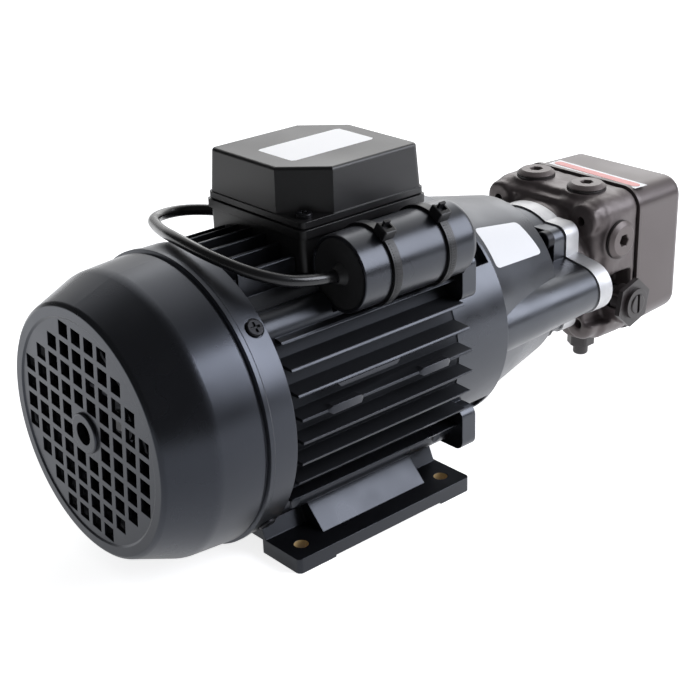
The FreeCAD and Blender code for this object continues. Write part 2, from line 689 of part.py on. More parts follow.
def make_terminal_box():
    floor, rim, split = BOX_FLOOR.v, BOX_RIM.v, BOX_SPLIT.v
    ledge, top, cut = LID_LEDGE.v, LID_TOP.v, size("lid_corner").v
    x0, x1, y = size("box_start").v, size("box_end").v, size("box_half_width").v
    base = rounded_box(x0 + 1, x1 - 3.3, -y + 1.7, y - 1.7, floor, rim + 0.5, 3)
    flange = rounded_box(x0, x1, -y, y, rim, split - 0.6, 3.2)
    base = base.fuse(flange).removeSplitter()
    inside = rounded_box(x0 + 3.5, x1 - 5.8, -y + 4.2, y - 4.2, floor + 2.5, split + 1, 3)
    posts = []
    inset = 1 + (cut - 5.5) / 2
    screw_spots = [(x0 + inset, -y + inset), (x1 - inset, y - inset)]
    for px, py in screw_spots:
        posts.append(Part.makeCylinder(4.2, split - 0.6 - floor - 1, Vector(px, py, floor + 1)))
        corner = Vector(px - 5 if py < 0 else px, py - 5 if py < 0 else py, floor + 1)
        posts.append(Part.makeBox(5, 5, split - 0.6 - floor - 1, corner))
    outside = Part.makeBox(x1 - x0 - 4.3, 2 * y - 3.4, split - floor, Vector(x0 + 1, -y + 1.7, floor))
    base = base.cut(inside).fuse(Part.makeCompound(posts).common(outside)).removeSplitter()
    for px, py in screw_spots:
        base = base.cut(Part.makeCylinder(1.65, 14, Vector(px, py, split - 14)))
    base = base.cut(Part.makeCylinder(9, 10, Vector(18, 0, floor - 2)))
    for px, py in fixing_places():
        base = base.cut(Part.makeCylinder(2.1, 10, Vector(px.v, py.v, floor - 2)))
    spot = lead_wall_spot()
    base = base.cut(Part.makeCylinder(5.0, 14, spot - Vector(0, 8, 0), Vector(0, 1, 0)))
    gland_x = size("box_end").v - 19
    base = base.cut(Part.makeCylinder(6.0, 14, Vector(gland_x, y - 8, GLAND_Z.v), Vector(0, 1, 0)))
    node("box_base", shaped(base, "base"))

    def ring_between(low, high, grow_out, grow_in):
        a = Part.Face(box_plan(grow_out, low, 0)).extrude(Vector(0, 0, high - low))
        return a.cut(Part.Face(box_plan(grow_in, low - 1, 0)).extrude(Vector(0, 0, high - low + 2)))

    seal = ring_between(split - 0.55, split - 0.05, -1.2, -3.4)
    node("box_gasket", shaped(seal, "seal"))

    lip = rounded_box(x0 + 0.8, x1 - 0.8, -y + 0.8, y - 0.8, split, ledge, 3)
    body = Part.makeLoft([box_plan(-0.4, ledge - 0.5, cut), box_plan(-1.6, top, cut)], True, True)
    sharp = [e for e in body.Edges if abs(e.tangentAt(e.FirstParameter).z) > 0.9 and
             (abs(e.CenterOfMass.x - x0) < 4 or abs(e.CenterOfMass.x - x1) < 4) and
             abs(abs(e.CenterOfMass.y) - y) < 4]
    body = body.makeFillet(3.2, sharp)
    body = body.makeFillet(1.6, edges_at(body, lambda e: abs(e.CenterOfMass.z - top) < 0.01))
    lid = body.fuse(lip).removeSplitter()
    inner = cut + 2.5
    hollow = Part.makeLoft([box_plan(-3.2, split - 1, inner), box_plan(-4.0, top - 2, inner)], True, True)
    lid = lid.cut(hollow)
    for px, py in screw_spots:
        lid = lid.cut(Part.makeCylinder(2.0, 6, Vector(px, py, split - 1)))
    node("box_lid", shaped(lid, "lid"))
    screws = [screw_solid(Vector(px, py, ledge), Vector(0, 0, -1), 1.6, 14, 3.7, 2.2, cross=1.1)
              for px, py in screw_spots]
    node("lid_screws", shaped(Part.makeCompound(screws), "screws"))
    fixing = [screw_solid(Vector(px.v, py.v, floor + 2.5), Vector(0, 0, -1), 1.6, 9, 3.3, 2.2, cross=1.0)
              for px, py in fixing_places()]
    node("box_fixing_screws", shaped(Part.makeCompound(fixing), "screws"))

    # terminal block with three studs, inside the base
    block_z = BOX_FLOOR + 2.5
    low, high = size("box_start") + 19.5, size("box_end") - 21
    board = join(block(low, high, -21, -8, block_z, block_z + 7),
                 block(low, high, -19, -10, block_z + 7, block_z + 9))
    stud_places = [low + (high - low) * ((k + 0.5) / 3) for k in range(3)]
    holes = [rod("z", block_z + 2, block_z + 12, 1.55, x=x, y=-14.5) for x in stud_places]
    node("terminal_block", remove(board, *holes))
    corners = [(2.9 * math.cos(math.radians(60 * i)), 2.9 * math.sin(math.radians(60 * i))) for i in range(6)]
    studs = []
    for x in stud_places:
        stem = rod("z", block_z + 2, block_z + 16, 1.5, x=x, y=-14.5)
        studs.append(join(stem, padded("nut", "XY_Plane", 2.4, (x, -14.5, block_z + 10), corners)))
    node("terminal_studs", group(*studs))

    way = Vector(0, 1, 0)
    spot = Vector(gland_x, y - 1.7, GLAND_Z.v)
    gland = Part.makeCylinder(5.95, 4, spot - way * 4, way)
    collar = hex_prism(spot + way * 0.03, 14, 3.5, way)
    neck = Part.makeCylinder(5.4, 8, spot, way)
    gland = gland.multiFuse([collar, neck]).removeSplitter()
    gland = gland.cut(Part.makeCylinder(3.2, 40, spot - way * 10, way))
    node("gland_body", shaped(gland, "gland"))
    cap_start = spot + way * 3.6
    cap = hex_prism(cap_start, 13.8, 7, way)
    cap = cap.fuse(Part.makeCone(6.85, 5.6, 3.2, cap_start + way * 6.5, way)).removeSplitter()
    cap = cap.cut(Part.makeCylinder(5.45, 5, cap_start - way * 0.1, way))
    cap = cap.cut(Part.makeCylinder(3.6, 20, spot, way))
    node("gland_nut", shaped(cap, "cap"))


def hex_prism(centre, across, length, way, turn=0.0):
    way = Vector(way)
    way.normalize()
    side = way.cross(Vector(0, 0, 1))
    if side.Length < 0.1:
        side = way.cross(Vector(0, 1, 0))
    side.normalize()
    up = way.cross(side)
    r = across / math.sqrt(3)
    points = []
    for k in range(7):
        a = math.radians(60 * k + turn)
        points.append(centre + side * (r * math.cos(a)) + up * (r * math.sin(a)))
    return Part.Face(Part.makePolygon(points)).extrude(way * length)


# The capacitor lead: hand-chosen corners of its route, from the box wall to the capacitor.
# The first ones are measured from the box, the last ones from the capacitor end.
def lead_points():
    x, y, z = size("box_start").v, size("box_half_width").v, GLAND_Z.v
    points = [(x + 20.5, y - 3, z), (x + 8.5, y + 21, z + 0.6), (x - 18.5, y + 21, z + 2.2)]
    x, y, z = size("box_start").v, CAN_Y.v, CAN_Z.v
    points += [(x - 32.5, y + 83.5, z + 9.6), (x - 41.5, y + 57.5, z + 14.2), (x - 41.5, y + 30.5, z + 12)]
    x = CAN_START.v
    points += [(x - 37, y + 9.5, z + 7), (x - 20, y - 1, z + 1.5), (x - 0.5, y - 1, z)]
    return [Vector(*p) for p in points]


def lead_start():
    points = lead_points()
    way = points[1] - points[0]
    way.normalize()
    return points[0], way


def lead_wall_spot():
    """Where the lead passes the outside of the box wall."""
    start, way = lead_start()
    wall = size("box_half_width").v - 1.7
    spot = start + way * ((wall - 1.2 - start.y) / way.y)
    return Vector(spot.x, wall, spot.z)


def rounded_route(points):
    """Straight runs joined by tangent arcs; returns the wire and the radii."""
    edges, radii = [], []
    here = points[0]
    for i in range(1, len(points) - 1):
        a, b, c = points[i - 1], points[i], points[i + 1]
        u, v = a - b, c - b
        run = min(u.Length, v.Length)
        u.normalize()
        v.normalize()
        half = (math.pi - u.getAngle(v)) / 2
        setback = 0.45 * run
        radius = setback / math.tan(half)
        radii.append(round(radius, 1))
        start, end = b + u * setback, b + v * setback
        inward = u + v
        inward.normalize()
        middle = b + inward * (radius / math.cos(half) - radius)
        edges.append(Part.LineSegment(here, start).toShape())
        edges.append(Part.Arc(start, middle, end).toShape())
        here = end
    edges.append(Part.LineSegment(here, points[-1]).toShape())
    return Part.Wire(edges), radii


def make_lead():
    points = lead_points()
    wire, radii = rounded_route(points)
    print("lead bend radii", radii, "length", round(wire.Length, 1))
    way = points[1] - points[0]
    r = size("lead_radius").v
    section = Part.Wire(Part.makeCircle(r, points[0], way))
    tube = wire.makePipeShell([section], True, False)
    print("lead volume ratio", round(tube.Volume / (math.pi * r * r * wire.Length), 4))
    node("capacitor_lead", shaped(tube, "lead"))
    start, way = lead_start()
    spot = lead_wall_spot()
    grommet = Part.makeCylinder(4.95, 4.4, spot - Vector(0, 3.2, 0), Vector(0, 1, 0))
    rim = Part.makeCylinder(6.3, 1.4, spot + Vector(0, 0.02, 0), Vector(0, 1, 0))
    grommet = grommet.fuse(rim).removeSplitter()
    grommet = grommet.cut(Part.makeCylinder(r + 0.06, 60, start - way * 20, way))
    node("lead_grommet", shaped(grommet, "grommet"))


def make_capacitor():
    x0, length, r = CAN_START.v, size("can_length").v, size("can_radius").v
    y, z = CAN_Y.v, CAN_Z.v
    can = Part.makeCylinder(r, length, Vector(x0, y, z), XAXIS)
    for at, fillet in ((x0 + length, 4), (x0, 0.6)):
        rim = edges_at(can, lambda e: abs(e.CenterOfMass.x - at) < 0.01 and e.Length > 50)
        can = can.makeFillet(fillet, rim)
    can = can.cut(Part.makeCylinder(r - 1.6, 6, Vector(x0 - 1, y, z), XAXIS))
    node("capacitor_can", shaped(can, "can"))
    disc = Part.makeCylinder(r - 1.65, 4.6, Vector(x0 + 0.3, y, z), XAXIS)
    end = lead_points()[-1]
    nub = Part.makeCone(3.4, 5.2, 3.6, Vector(x0 - 3.2, end.y, end.z), XAXIS)
    disc = disc.fuse(nub).removeSplitter()
    points = lead_points()
    way = points[-1] - points[-2]
    way.normalize()
    disc = disc.cut(Part.makeCylinder(size("lead_radius").v + 0.06, 9.05, points[-1] - way * 9, way))
    node("capacitor_end", shaped(disc, "disc"))
    bands = []
    tilt = math.radians(59)
    out = Vector(0, -math.cos(tilt), math.sin(tilt))
    side = Vector(0, math.sin(tilt), math.cos(tilt))
    for x in (size("tie_one").v, size("tie_two").v):
        band = tie_band(x, size("tie_width").v, 0.05, 1.25)
        centre = Vector(x, y, z) + out * (r + 0.5)
        head = Part.makeBox(7, 7.4, 5.4, Vector(-3.5, -3.7, 0))
        head = head.makeFillet(0.7, head.Edges)
        head = head.cut(Part.makeBox(4.2, 9, 2.0, Vector(-2.1, -3.7 + 2.2, 3.9)))
        head.Placement = Placement(centre, Rotation(XAXIS, side, out, "ZXY"))
        tail = Part.makeBox(3.6, 1.2, 4.4, Vector(-1.8, 0.6, 3.4))
        tail.Placement = head.Placement
        bands.append(band.multiFuse([head, tail]).cut(can_cylinder(r + 0.04, x0 - 1, x0 + length + 1)))
    node("cable_ties", shaped(Part.makeCompound(bands), "ties"))


make_terminal_box()
make_lead()
make_capacitor()


# Bell housing: flange with ears, round base, nose cone, side lobe and end flange
def plate_outline(grow, x, thick):
    """Rounded plate shape shared by the end of the bell and the adapter plate."""
    za = AXIS.v
    ay, az = size("adapter_y").v + 5.3 + grow, size("adapter_z").v + 5.3 + grow
    square = Part.makeBox(thick, 2 * ay, 2 * az, Vector(x, -ay, za - az))
    square = square.makeFillet(6.5, edges_at(square, along_x))
    round_part = Part.makeCylinder(35.5 + grow, thick, Vector(x, 0, za), XAXIS)
    ly, lr, cr = size("lobe_y").v, 13.5 + grow, 17.5 + grow
    lobe = Part.makeCylinder(lr, thick, Vector(x, ly, za - 1), XAXIS)
    tilt = math.asin((cr - lr) / abs(ly + 20))
    points = []
    for cy, r, s in ((-20, cr, 1), (ly, lr, 1), (ly, lr, -1), (-20, cr, -1)):
        points.append((x, cy - r * math.sin(tilt), za - 1 + s * r * math.cos(tilt)))
    web = polygon_face(points).extrude(Vector(thick, 0, 0))
    return square.multiFuse([round_part, lobe, web]).removeSplitter()


def side_lobe(x0, x1):
    """Rounded rib from the bell base to the plate, a little thinner towards the plate."""
    z, y = AXIS.v - 1, size("lobe_y").v
    r0, r1, tilt = 15.8, 12.8, 0.16
    cone = Part.makeCone(r0, r1, x1 - x0, Vector(x0, y, z), XAXIS)

    def corners(x, r):
        touch_y, touch_z = y - r * math.sin(tilt), r * math.cos(tilt)
        root = touch_z + (-8 - touch_y) * math.tan(tilt)
        return [(x, touch_y, z + touch_z), (x, -8, z + root), (x, -8, z - root), (x, touch_y, z - touch_z)]

    a, b = corners(x0, r0), corners(x1, r1)
    faces = [polygon_face(a), polygon_face(b)]
    for i in range(4):
        j = (i + 1) % 4
        faces.append(polygon_face([a[i], a[j], b[j], b[i]]))
    web = Part.makeSolid(Part.makeShell(faces))
    if web.Volume < 0:
        web.reverse()
    return cone.fuse(web).removeSplitter()


def make_bell():
    x0 = size("frame_end")
    step, nose = BELL_STEP, NOSE_END
    back = x0 + 2 + size("bearing_width")
    front = PLATE_FRONT
    spigot = size("frame_bore") - 0.04
    outside = turned("bell", [
        (x0 - 6, 0), (x0 - 6, spigot), (x0, spigot), (x0, size("bell_radius")),
        (step - 1.2, size("bell_radius")), (step, size("bell_radius") - 1.2),
        (step, size("nose_start_radius")), (nose, size("nose_end_radius")), (nose, 33.5),
        (front, 33.5), (front, 0)])
    # bearing seat and the recess towards the windings
    seat = turned("seat", [
        (x0 - 7, 0), (x0 - 7, spigot - 5.4), (x0, spigot - 5.4), (x0 + 6, spigot - 7.4), (x0 + 6, 26),
        (x0 - 0.5, 22), (x0 - 0.5, size("bearing_outer")), (back, size("bearing_outer")),
        (back, 13), (back + 4, 13), (back + 4, 0)])
    cavity = turned("cavity", [
        (back + 3, 0), (back + 3, 51), (step - 3, 51), (step + 6, 48), (nose - 8, 38), (nose - 6, 27.5),
        (front + 1, 27.5), (front + 1, 0)])
    ears = []
    for sy in (-1, 1):
        for sz in (-1, 1):
            y0, y1 = sorted((sy * 34.0, sy * 62.5))
            z0, z1 = sorted((AXIS.v + sz * 28.5, AXIS.v + sz * 50.5))
            ear = Part.makeBox(9, y1 - y0, z1 - z0, Vector(x0.v, y0, z0))
            ears.append(ear.makeFillet(5, edges_at(ear, along_x)))
    inner = Part.makeCylinder(size("frame_bore").v + 1, 12, Vector(x0.v - 1, 0, AXIS.v), XAXIS)
    ears = shaped(ears[0].multiFuse(ears[1:]).cut(inner), "ears")
    flange = shaped(plate_outline(-0.8, front.v - 9, 9), "flange")
    lobe = shaped(side_lobe(step.v - 2, front.v - 0.5), "lobe")
    holes = [seat, cavity]
    for y, z, sy, sz in corner_places(CORNER_RADIUS):
        holes.append(rod("x", x0 - 1, x0 + 12, 2.6, y=y, z=z))
        holes.append(rod("x", x0 + 9, step - 3, 6.2, y=y, z=z))
    for sy in (-1, 1):
        for sz in (-1, 1):
            y, z = sy * size("adapter_y"), AXIS + sz * size("adapter_z")
            holes.append(rod("x", front - 10, front + 1, 3.2, y=y, z=z))
            holes.append(rod("x", nose - 8, front - 9, 7.6, y=y, z=z))
            y0, y1 = (y - 20, y + 2) if sy < 0 else (y - 2, y + 20)
            z0, z1 = (z - 20, z + 2) if sz < 0 else (z - 2, z + 20)
            holes.append(block(nose + 0.5, front - 9, y0, y1, z0, z1))
    holes.append(rod("x", front - 18, front + 1, 2.6, y=size("lobe_y"), z=AXIS - 1))
    end = CAN_START.v + size("can_length").v
    holes.append(shaped(can_cylinder(size("can_radius").v + 0.6, 40, end + 1), "gap"))
    node("bell_housing", remove(join(outside, ears, flange, lobe), *holes))
    screws = []
    for y, z, sy, sz in corner_places(CORNER_RADIUS):
        base = Vector(x0.v + 9, y.v, z.v)
        screws.append(screw_solid(base, Vector(-1, 0, 0), 2.0, 23, 4.2, 4.0, hex_across=4.0))
    node("bell_screws", shaped(Part.makeCompound(screws), "screws"))


def make_adapter():
    front, thick, hub = PLATE_FRONT.v, size("plate_thick").v, size("pump_hub").v
    plate = plate_outline(0, front, thick)
    plate = plate.cut(Part.makeCylinder(hub + 0.05, thick + 2, Vector(front - 1, 0, AXIS.v), XAXIS))
    screws, pump_screws = [], []
    for sy in (-1, 1):
        for sz in (-1, 1):
            y, z = sy * size("adapter_y").v, AXIS.v + sz * size("adapter_z").v
            plate = plate.cut(Part.makeCylinder(2.55, thick + 2, Vector(front - 1, y, z), XAXIS))
            screws.append(screw_solid(Vector(front - 9, y, z), XAXIS, 2.5, 18, 5, 5, hex_across=5))
    for k in range(4):
        a = math.radians(90 * k)
        y, z = (hub + 6.3) * math.cos(a), AXIS.v + (hub + 6.3) * math.sin(a)
        plate = plate.cut(Part.makeCylinder(2.6, thick + 2, Vector(front - 1, y, z), XAXIS))
        plate = plate.cut(Part.makeCylinder(4.7, 5.4, Vector(front - 0.4, y, z), XAXIS))
        pump_screws.append(screw_solid(Vector(front + 5, y, z), XAXIS, 2.5, 20, 4.2, 4.6, hex_across=4))
    ly = size("lobe_y").v
    plate = plate.cut(Part.makeCylinder(3.1, thick + 2, Vector(front - 1, ly, AXIS.v - 1), XAXIS))
    plate = plate.cut(Part.makeCylinder(5.6, 5, Vector(front + thick - 3.2, ly, AXIS.v - 1), XAXIS))
    node("adapter_plate", shaped(plate, "plate"))
    node("adapter_screws", shaped(Part.makeCompound(screws), "screws"))
    node("pump_flange_screws", shaped(Part.makeCompound(pump_screws), "screws"))
    base = Vector(front + thick - 3.2, ly, AXIS.v - 1)
    lobe = screw_solid(base, Vector(-1, 0, 0), 2.5, 22, 5, 3.0, hex_across=4)
    node("lobe_screw", shaped(lobe, "screw"))


make_bell()
make_adapter()


# Coupling between the two shafts
def make_coupling():
    r = size("hub_radius").v
    za, start = AXIS.v, size("frame_end").v
    far, pump_bore = PUMP_FRONT.v - 25, size("pump_shaft_radius").v + 0.03
    for name, x0, x1, jaw_x0, jaw_x1, bore, phase in (
            ("motor_coupling_hub", start + 40, start + 63.8, start + 63, start + 73.5, 7.0, 0),
            ("pump_coupling_hub", start + 76.2, far, start + 66.5, start + 77, pump_bore, 60)):
        half = 20.5 if name.startswith("motor") else 19
        hub = Part.makeCylinder(r, x1 - x0, Vector(x0, 0, za), XAXIS)
        jaws = []
        for k in range(3):
            sector = sector_solid(jaw_x0, jaw_x1, 7.5, r, 120 * k + phase, half)
            sector.translate(Vector(0, 0, za))
            jaws.append(sector)
        hub = hub.multiFuse(jaws).removeSplitter()
        hub = hub.cut(Part.makeCylinder(bore, 80, Vector(x0 - 1, 0, za), XAXIS))
        if name.startswith("motor"):
            hub = hub.cut(Part.makeBox(25, 4.04, 5, Vector(x0 - 1, -2.02, za + 4)))
            node(name, shaped(hub, "hub"))
            continue
        middle = (x0 + x1) / 2
        hub = hub.cut(Part.makeCylinder(2.05, r + 2, Vector(middle, 0, za), Vector(0, 0, -1)))
        node(name, shaped(hub, "hub"))
        pin = Part.makeCylinder(2.0, r - bore - 2.5, Vector(middle, 0, za - bore - 0.1), Vector(0, 0, -1))
        pin = pin.cut(hex_prism(Vector(middle, 0, za - r + 0.5), 2, 4, Vector(0, 0, 1)))
        node("hub_set_screw", shaped(pin, "pin"))
    legs = []
    for k in range(6):
        sector = sector_solid(start + 64.2, start + 75.8, 7.0, r - 0.4, 60 * k + 30, 8.6)
        sector.translate(Vector(0, 0, za))
        legs.append(sector)
    ring_part = Part.makeCylinder(7.1, 11.6, Vector(start + 64.2, 0, za), XAXIS)
    spider = ring_part.multiFuse(legs).removeSplitter()
    spider = spider.cut(Part.makeCylinder(5.6, 20, Vector(start + 60, 0, za), XAXIS))
    node("coupling_spider", shaped(spider, "spider"))


def sector_solid(x0, x1, r0, r1, centre, half):
    """Part of a ring about the X line, between two angles."""
    a, b, c = (math.radians(centre + s * half) for s in (-1, 0, 1))

    def at(r, t):
        return Vector(x0, r * math.cos(t), r * math.sin(t))

    edges = [Part.Arc(at(r1, a), at(r1, b), at(r1, c)).toShape(),
             Part.LineSegment(at(r1, c), at(r0, c)).toShape(),
             Part.Arc(at(r0, c), at(r0, b), at(r0, a)).toShape(),
             Part.LineSegment(at(r0, a), at(r1, a)).toShape()]
    return Part.Face(Part.Wire(edges)).extrude(Vector(x1 - x0, 0, 0))


make_coupling()


# Pump body with its bosses, ports and tapped holes
def gear_screw_places():
    return [(25 * math.cos(math.radians(a)), AXIS.v + 25 * math.sin(math.radians(a))) for a in (30, 150, 270)]


def rounded_block(x0, x1, half, corner, front):
    """Square block about the shaft line with rounded corners and a rounded front edge."""
    solid = Part.makeBox(x1 - x0, 2 * half, 2 * half, Vector(x0, -half, AXIS.v - half))
    solid = solid.makeFillet(corner, edges_at(solid, along_x))
    return solid.makeFillet(front, edges_at(solid, lambda e: abs(e.CenterOfMass.x - x0) < 0.01))


def make_pump_body():
    front, back, half = PUMP_FRONT.v, PUMP_BACK.v, size("pump_half").v
    za = AXIS.v
    fh = size("face_holes").v
    step = front + 8
    solid = rounded_block(step, back, half, 11, 3.5)
    solid = solid.fuse(rounded_block(front + 1.5, front + 13.5, half - 7, 8, 3))
    px, off = PORT_X.v, size("port_offset").v
    hub = size("pump_hub").v
    seat = PLATE_FRONT.v + size("plate_thick").v
    mount_pad = Part.makeCylinder(35, front - seat + 1, Vector(seat, 0, za), XAXIS)
    spigot = Part.makeCylinder(hub, 12, Vector(front - 13, 0, za), XAXIS)
    nose = Part.makeCylinder(11, 10, Vector(front - 22, 0, za), XAXIS)
    bosses = [mount_pad, spigot, nose]
    for y in (-off, off):
        bosses.append(Part.makeCylinder(12.2, 22, Vector(px, y, za + half - 21.5), Vector(0, 0, 1)))
    bosses.append(Part.makeCylinder(12.2, 22, Vector(px, -half + 21.5, za + off), Vector(0, -1, 0)))
    rx = REGULATOR_X.v
    for sy, sz in ((-1, 1), (1, 1), (-1, -1), (1, -1)):
        boss = Part.makeCylinder(9.5, 20, Vector(front, sy * fh, za + sz * fh), XAXIS)
        rim = edges_at(boss, lambda e: abs(e.CenterOfMass.x - front) < 0.01 and e.Length > 20)
        bosses.append(boss.makeFillet(2.5, rim))
    sump = Part.makeCylinder(11, 20, Vector(px, -off, za - half + 18), Vector(0, 0, -1))
    bosses.append(sump)
    solid = solid.multiFuse(bosses).removeSplitter()
    # deep recess in the side, with the regulator boss standing in it
    recess = Part.makeBox(back - 3 - front, 9, off + 8.2, Vector(front - 1, -half - 1.5, za - off - 10.7))
    recess = recess.makeFillet(3, edges_at(recess, lambda e: abs(e.tangentAt(e.FirstParameter).y) > 0.9))
    solid = solid.cut(recess)
    boss = Part.makeCylinder(10.2, 17, Vector(rx, -half - 6, za - off), Vector(0, 1, 0))
    shelf = rounded_box_y(rx - 8, back - 0.8, -half - 6, -half + 11, za - off - 12.5, za - off + 5, 4)
    boss = boss.fuse(shelf)
    solid = solid.fuse(boss).removeSplitter()
    cuts = []
    shaft_r = size("pump_shaft_radius").v
    cuts.append(Part.makeCylinder(shaft_r + 0.04, 90, Vector(front - 30, 0, za), XAXIS))
    cuts.append(Part.makeCylinder(9.05, 9, Vector(front - 23, 0, za), XAXIS))
    for y in (-off, off):
        cuts.append(Part.makeCylinder(6.6, 17, Vector(px, y, za + half + 1), Vector(0, 0, -1)))
        cuts.append(Part.makeCylinder(4, 28, Vector(px, y, za + half + 1), Vector(0, 0, -1)))
    cuts.append(Part.makeCylinder(6.6, 17, Vector(px, -half - 1, za + off), Vector(0, 1, 0)))
    cuts.append(Part.makeCylinder(4, 28, Vector(px, -half - 1, za + off), Vector(0, 1, 0)))
    cuts.append(Part.makeCylinder(5.05, 13, Vector(px, -off, za - half - 3), Vector(0, 0, 1)))
    cuts.append(Part.makeCylinder(2.5, 24, Vector(px, -off, za - half - 3), Vector(0, 0, 1)))
    cuts.append(Part.makeCylinder(7.05, 40, Vector(rx, -half - 9, za - off), Vector(0, 1, 0)))
    cuts.append(Part.makeCylinder(8.6, 14, Vector(rx, -half - 9, za - off), Vector(0, 1, 0)))
    for sy, sz in ((-1, 1), (1, 1), (-1, -1), (1, -1)):
        cuts.append(Part.makeCylinder(2.5, 13, Vector(front - 1, sy * fh, za + sz * fh), XAXIS))
    for y, z in gear_screw_places():
        cuts.append(Part.makeCylinder(2.05, 10, Vector(back - 9, y, z), XAXIS))
    for k in range(4):
        a = math.radians(90 * k)
        at = Vector(front - 5, (hub + 6.3) * math.cos(a), za + (hub + 6.3) * math.sin(a))
        cuts.append(Part.makeCylinder(2.55, 20, at, XAXIS))
    for sy in (-1, 1):
        for sz in (-1, 1):
            at = Vector(back - 15, sy * (half - 10), za + sz * (half - 10))
            cuts.append(Part.makeCylinder(2.1, 16, at, XAXIS))
    solid = solid.cut(cuts[0].multiFuse(cuts[1:]))
    node("pump_body", shaped(solid, "body"))


def rounded_box_y(x0, x1, y0, y1, z0, z1, radius):
    """Box with its edges along Y rounded."""
    solid = Part.makeBox(x1 - x0, y1 - y0, z1 - z0, Vector(x0, y0, z0))
    return solid.makeFillet(radius, edges_at(solid, lambda e: abs(e.tangentAt(e.FirstParameter).y) > 0.9))


def plug_solid(base, way):
    """Port plug: threaded shank, thick collar and a hexagon socket."""
    way = Vector(way)
    way.normalize()
    r = size("plug_radius").v
    shank = Part.makeCylinder(6.5, 11, base, way)
    collar = Part.makeCylinder(r, 4.4, base - way * 4.4, way)
    rim = edges_at(collar, lambda e: e.Length > 20 and abs((e.CenterOfMass - base).dot(way) + 4.4) < 1e-6)
    collar = collar.makeChamfer(1.2, rim)
    solid = shank.fuse(collar).removeSplitter()
    return solid.cut(hex_prism(base - way * 4.4, 6, 6.5, way))


def make_pump_fittings():
    za, half = AXIS.v, size("pump_half").v
    px, off = PORT_X.v, size("port_offset").v
    top = za + half + 0.5
    side = -half - 0.5
    places = [(Vector(px, -off, top), Vector(0, 0, -1)), (Vector(px, off, top), Vector(0, 0, -1)),
              (Vector(px, side, za + off), Vector(0, 1, 0))]
    plugs, rings = [], []
    for base, way in places:
        lifted = base - way * 1.25
        plugs.append(plug_solid(lifted, way))
        washer = Part.makeCylinder(size("plug_radius").v + 1.3, 1.2, base - way * 1.22, way)
        washer = washer.cut(Part.makeCylinder(6.6, 4, base - way * 3, way))
        rings.append(washer)
    node("port_plugs", shaped(Part.makeCompound(plugs), "plugs"))
    node("plug_washers", shaped(Part.makeCompound(rings), "washers"))

    low = Vector(px, -off, za - half - 2.02)
    down = Vector(0, 0, -1)
    fitting = hex_prism(low, 14, 6.5, down)
    fitting = fitting.common(Part.makeCylinder(7.7, 6.5, low, down))
    fitting = fitting.fuse(Part.makeCylinder(5.0, 9, low + Vector(0, 0, 9), down))
    stem = Part.makeCylinder(4.3, 6.8, low + down * 6.4, down)
    rim = edges_at(stem, lambda e: abs(e.CenterOfMass.z - (low.z - 13.2)) < 0.01 and e.Length > 5)
    stem = stem.makeFillet(1.6, rim)
    fitting = fitting.fuse(stem).removeSplitter()
    fitting = fitting.cut(Part.makeCylinder(2.0, 40, low + Vector(0, 0, 12), down))
    node("outlet_fitting", shaped(fitting, "fitting"))

    rx = REGULATOR_X.v
    seat = Vector(rx, -half - 6.02, za - off)
    out = Vector(0, -1, 0)
    nut = hex_prism(seat, 24, 3.0, out, 18)
    nut = nut.fuse(Part.makeCylinder(8.5, 7.7, seat + Vector(0, 7.2, 0), out))
    collar = Part.makeCylinder(8.6, 2.4, seat + out * 2.9, out)
    nut = nut.fuse(collar).removeSplitter()
    nut = nut.cut(Part.makeCylinder(5.55, 30, seat + Vector(0, 9, 0), out))
    node("regulator_nut", shaped(nut, "nut"))
    screw = Part.makeCylinder(5.5, 14.2, seat + Vector(0, 8.2, 0), out)
    rim = edges_at(screw, lambda e: abs(e.CenterOfMass.y - (seat.y - 6.0)) < 0.01 and e.Length > 5)
    screw = screw.makeFillet(0.8, rim)
    slot = Part.makeBox(2.0, 2.7, 14, Vector(rx - 1.0, seat.y - 6.5, za - off - 7))
    screw = screw.cut(slot)
    node("regulator_screw", shaped(screw, "screw"))
    inner = seat + Vector(0, 8.2, 0)
    cup = Part.makeCylinder(6.6, 3.0, inner + Vector(0, 0.6, 0), Vector(0, 1, 0))
    cup = cup.cut(Part.makeCylinder(3.0, 2, inner + Vector(0, 2.4, 0), Vector(0, 1, 0)))
    node("spring_seat", shaped(cup, "seat"))
    helix = Part.makeHelix(2.4, 9.6, 4.6)
    profile = Part.Wire(Part.makeCircle(0.6, Vector(4.6, 0, 0), Vector(0, 1, 0)))
    coil = Part.Wire(helix.Edges).makePipeShell([profile], True, True)
    coil.rotate(Vector(0, 0, 0), XAXIS, -90)
    coil.translate(inner + Vector(0, 4.4, 0))
    node("regulator_spring", shaped(coil, "spring"))
    piston = Part.makeCylinder(7.0, 7, inner + Vector(0, 15.2, 0), Vector(0, 1, 0))
    piston = piston.cut(Part.makeCylinder(4.0, 4, inner + Vector(0, 18.5, 0), Vector(0, 1, 0)))
    node("pressure_piston", shaped(piston, "piston"))


make_pump_body()
make_pump_fittings()


# Pump inside: shaft, seal, gear pair, plates, strainer
def trochoid(points, pitch, roller, offset, count):
    """Inner rotor outline that rolls inside a ring of round teeth."""
    path = []
    for i in range(points):
        t = 2 * math.pi * i / points
        bend = math.atan2(math.sin((1 - count) * t), pitch / (offset * count) - math.cos((1 - count) * t))
        y = pitch * math.cos(t) - roller * math.cos(t + bend) - offset * math.cos(count * t)
        z = -pitch * math.sin(t) + roller * math.sin(t + bend) + offset * math.sin(count * t)
        path.append((y, z))
    return path


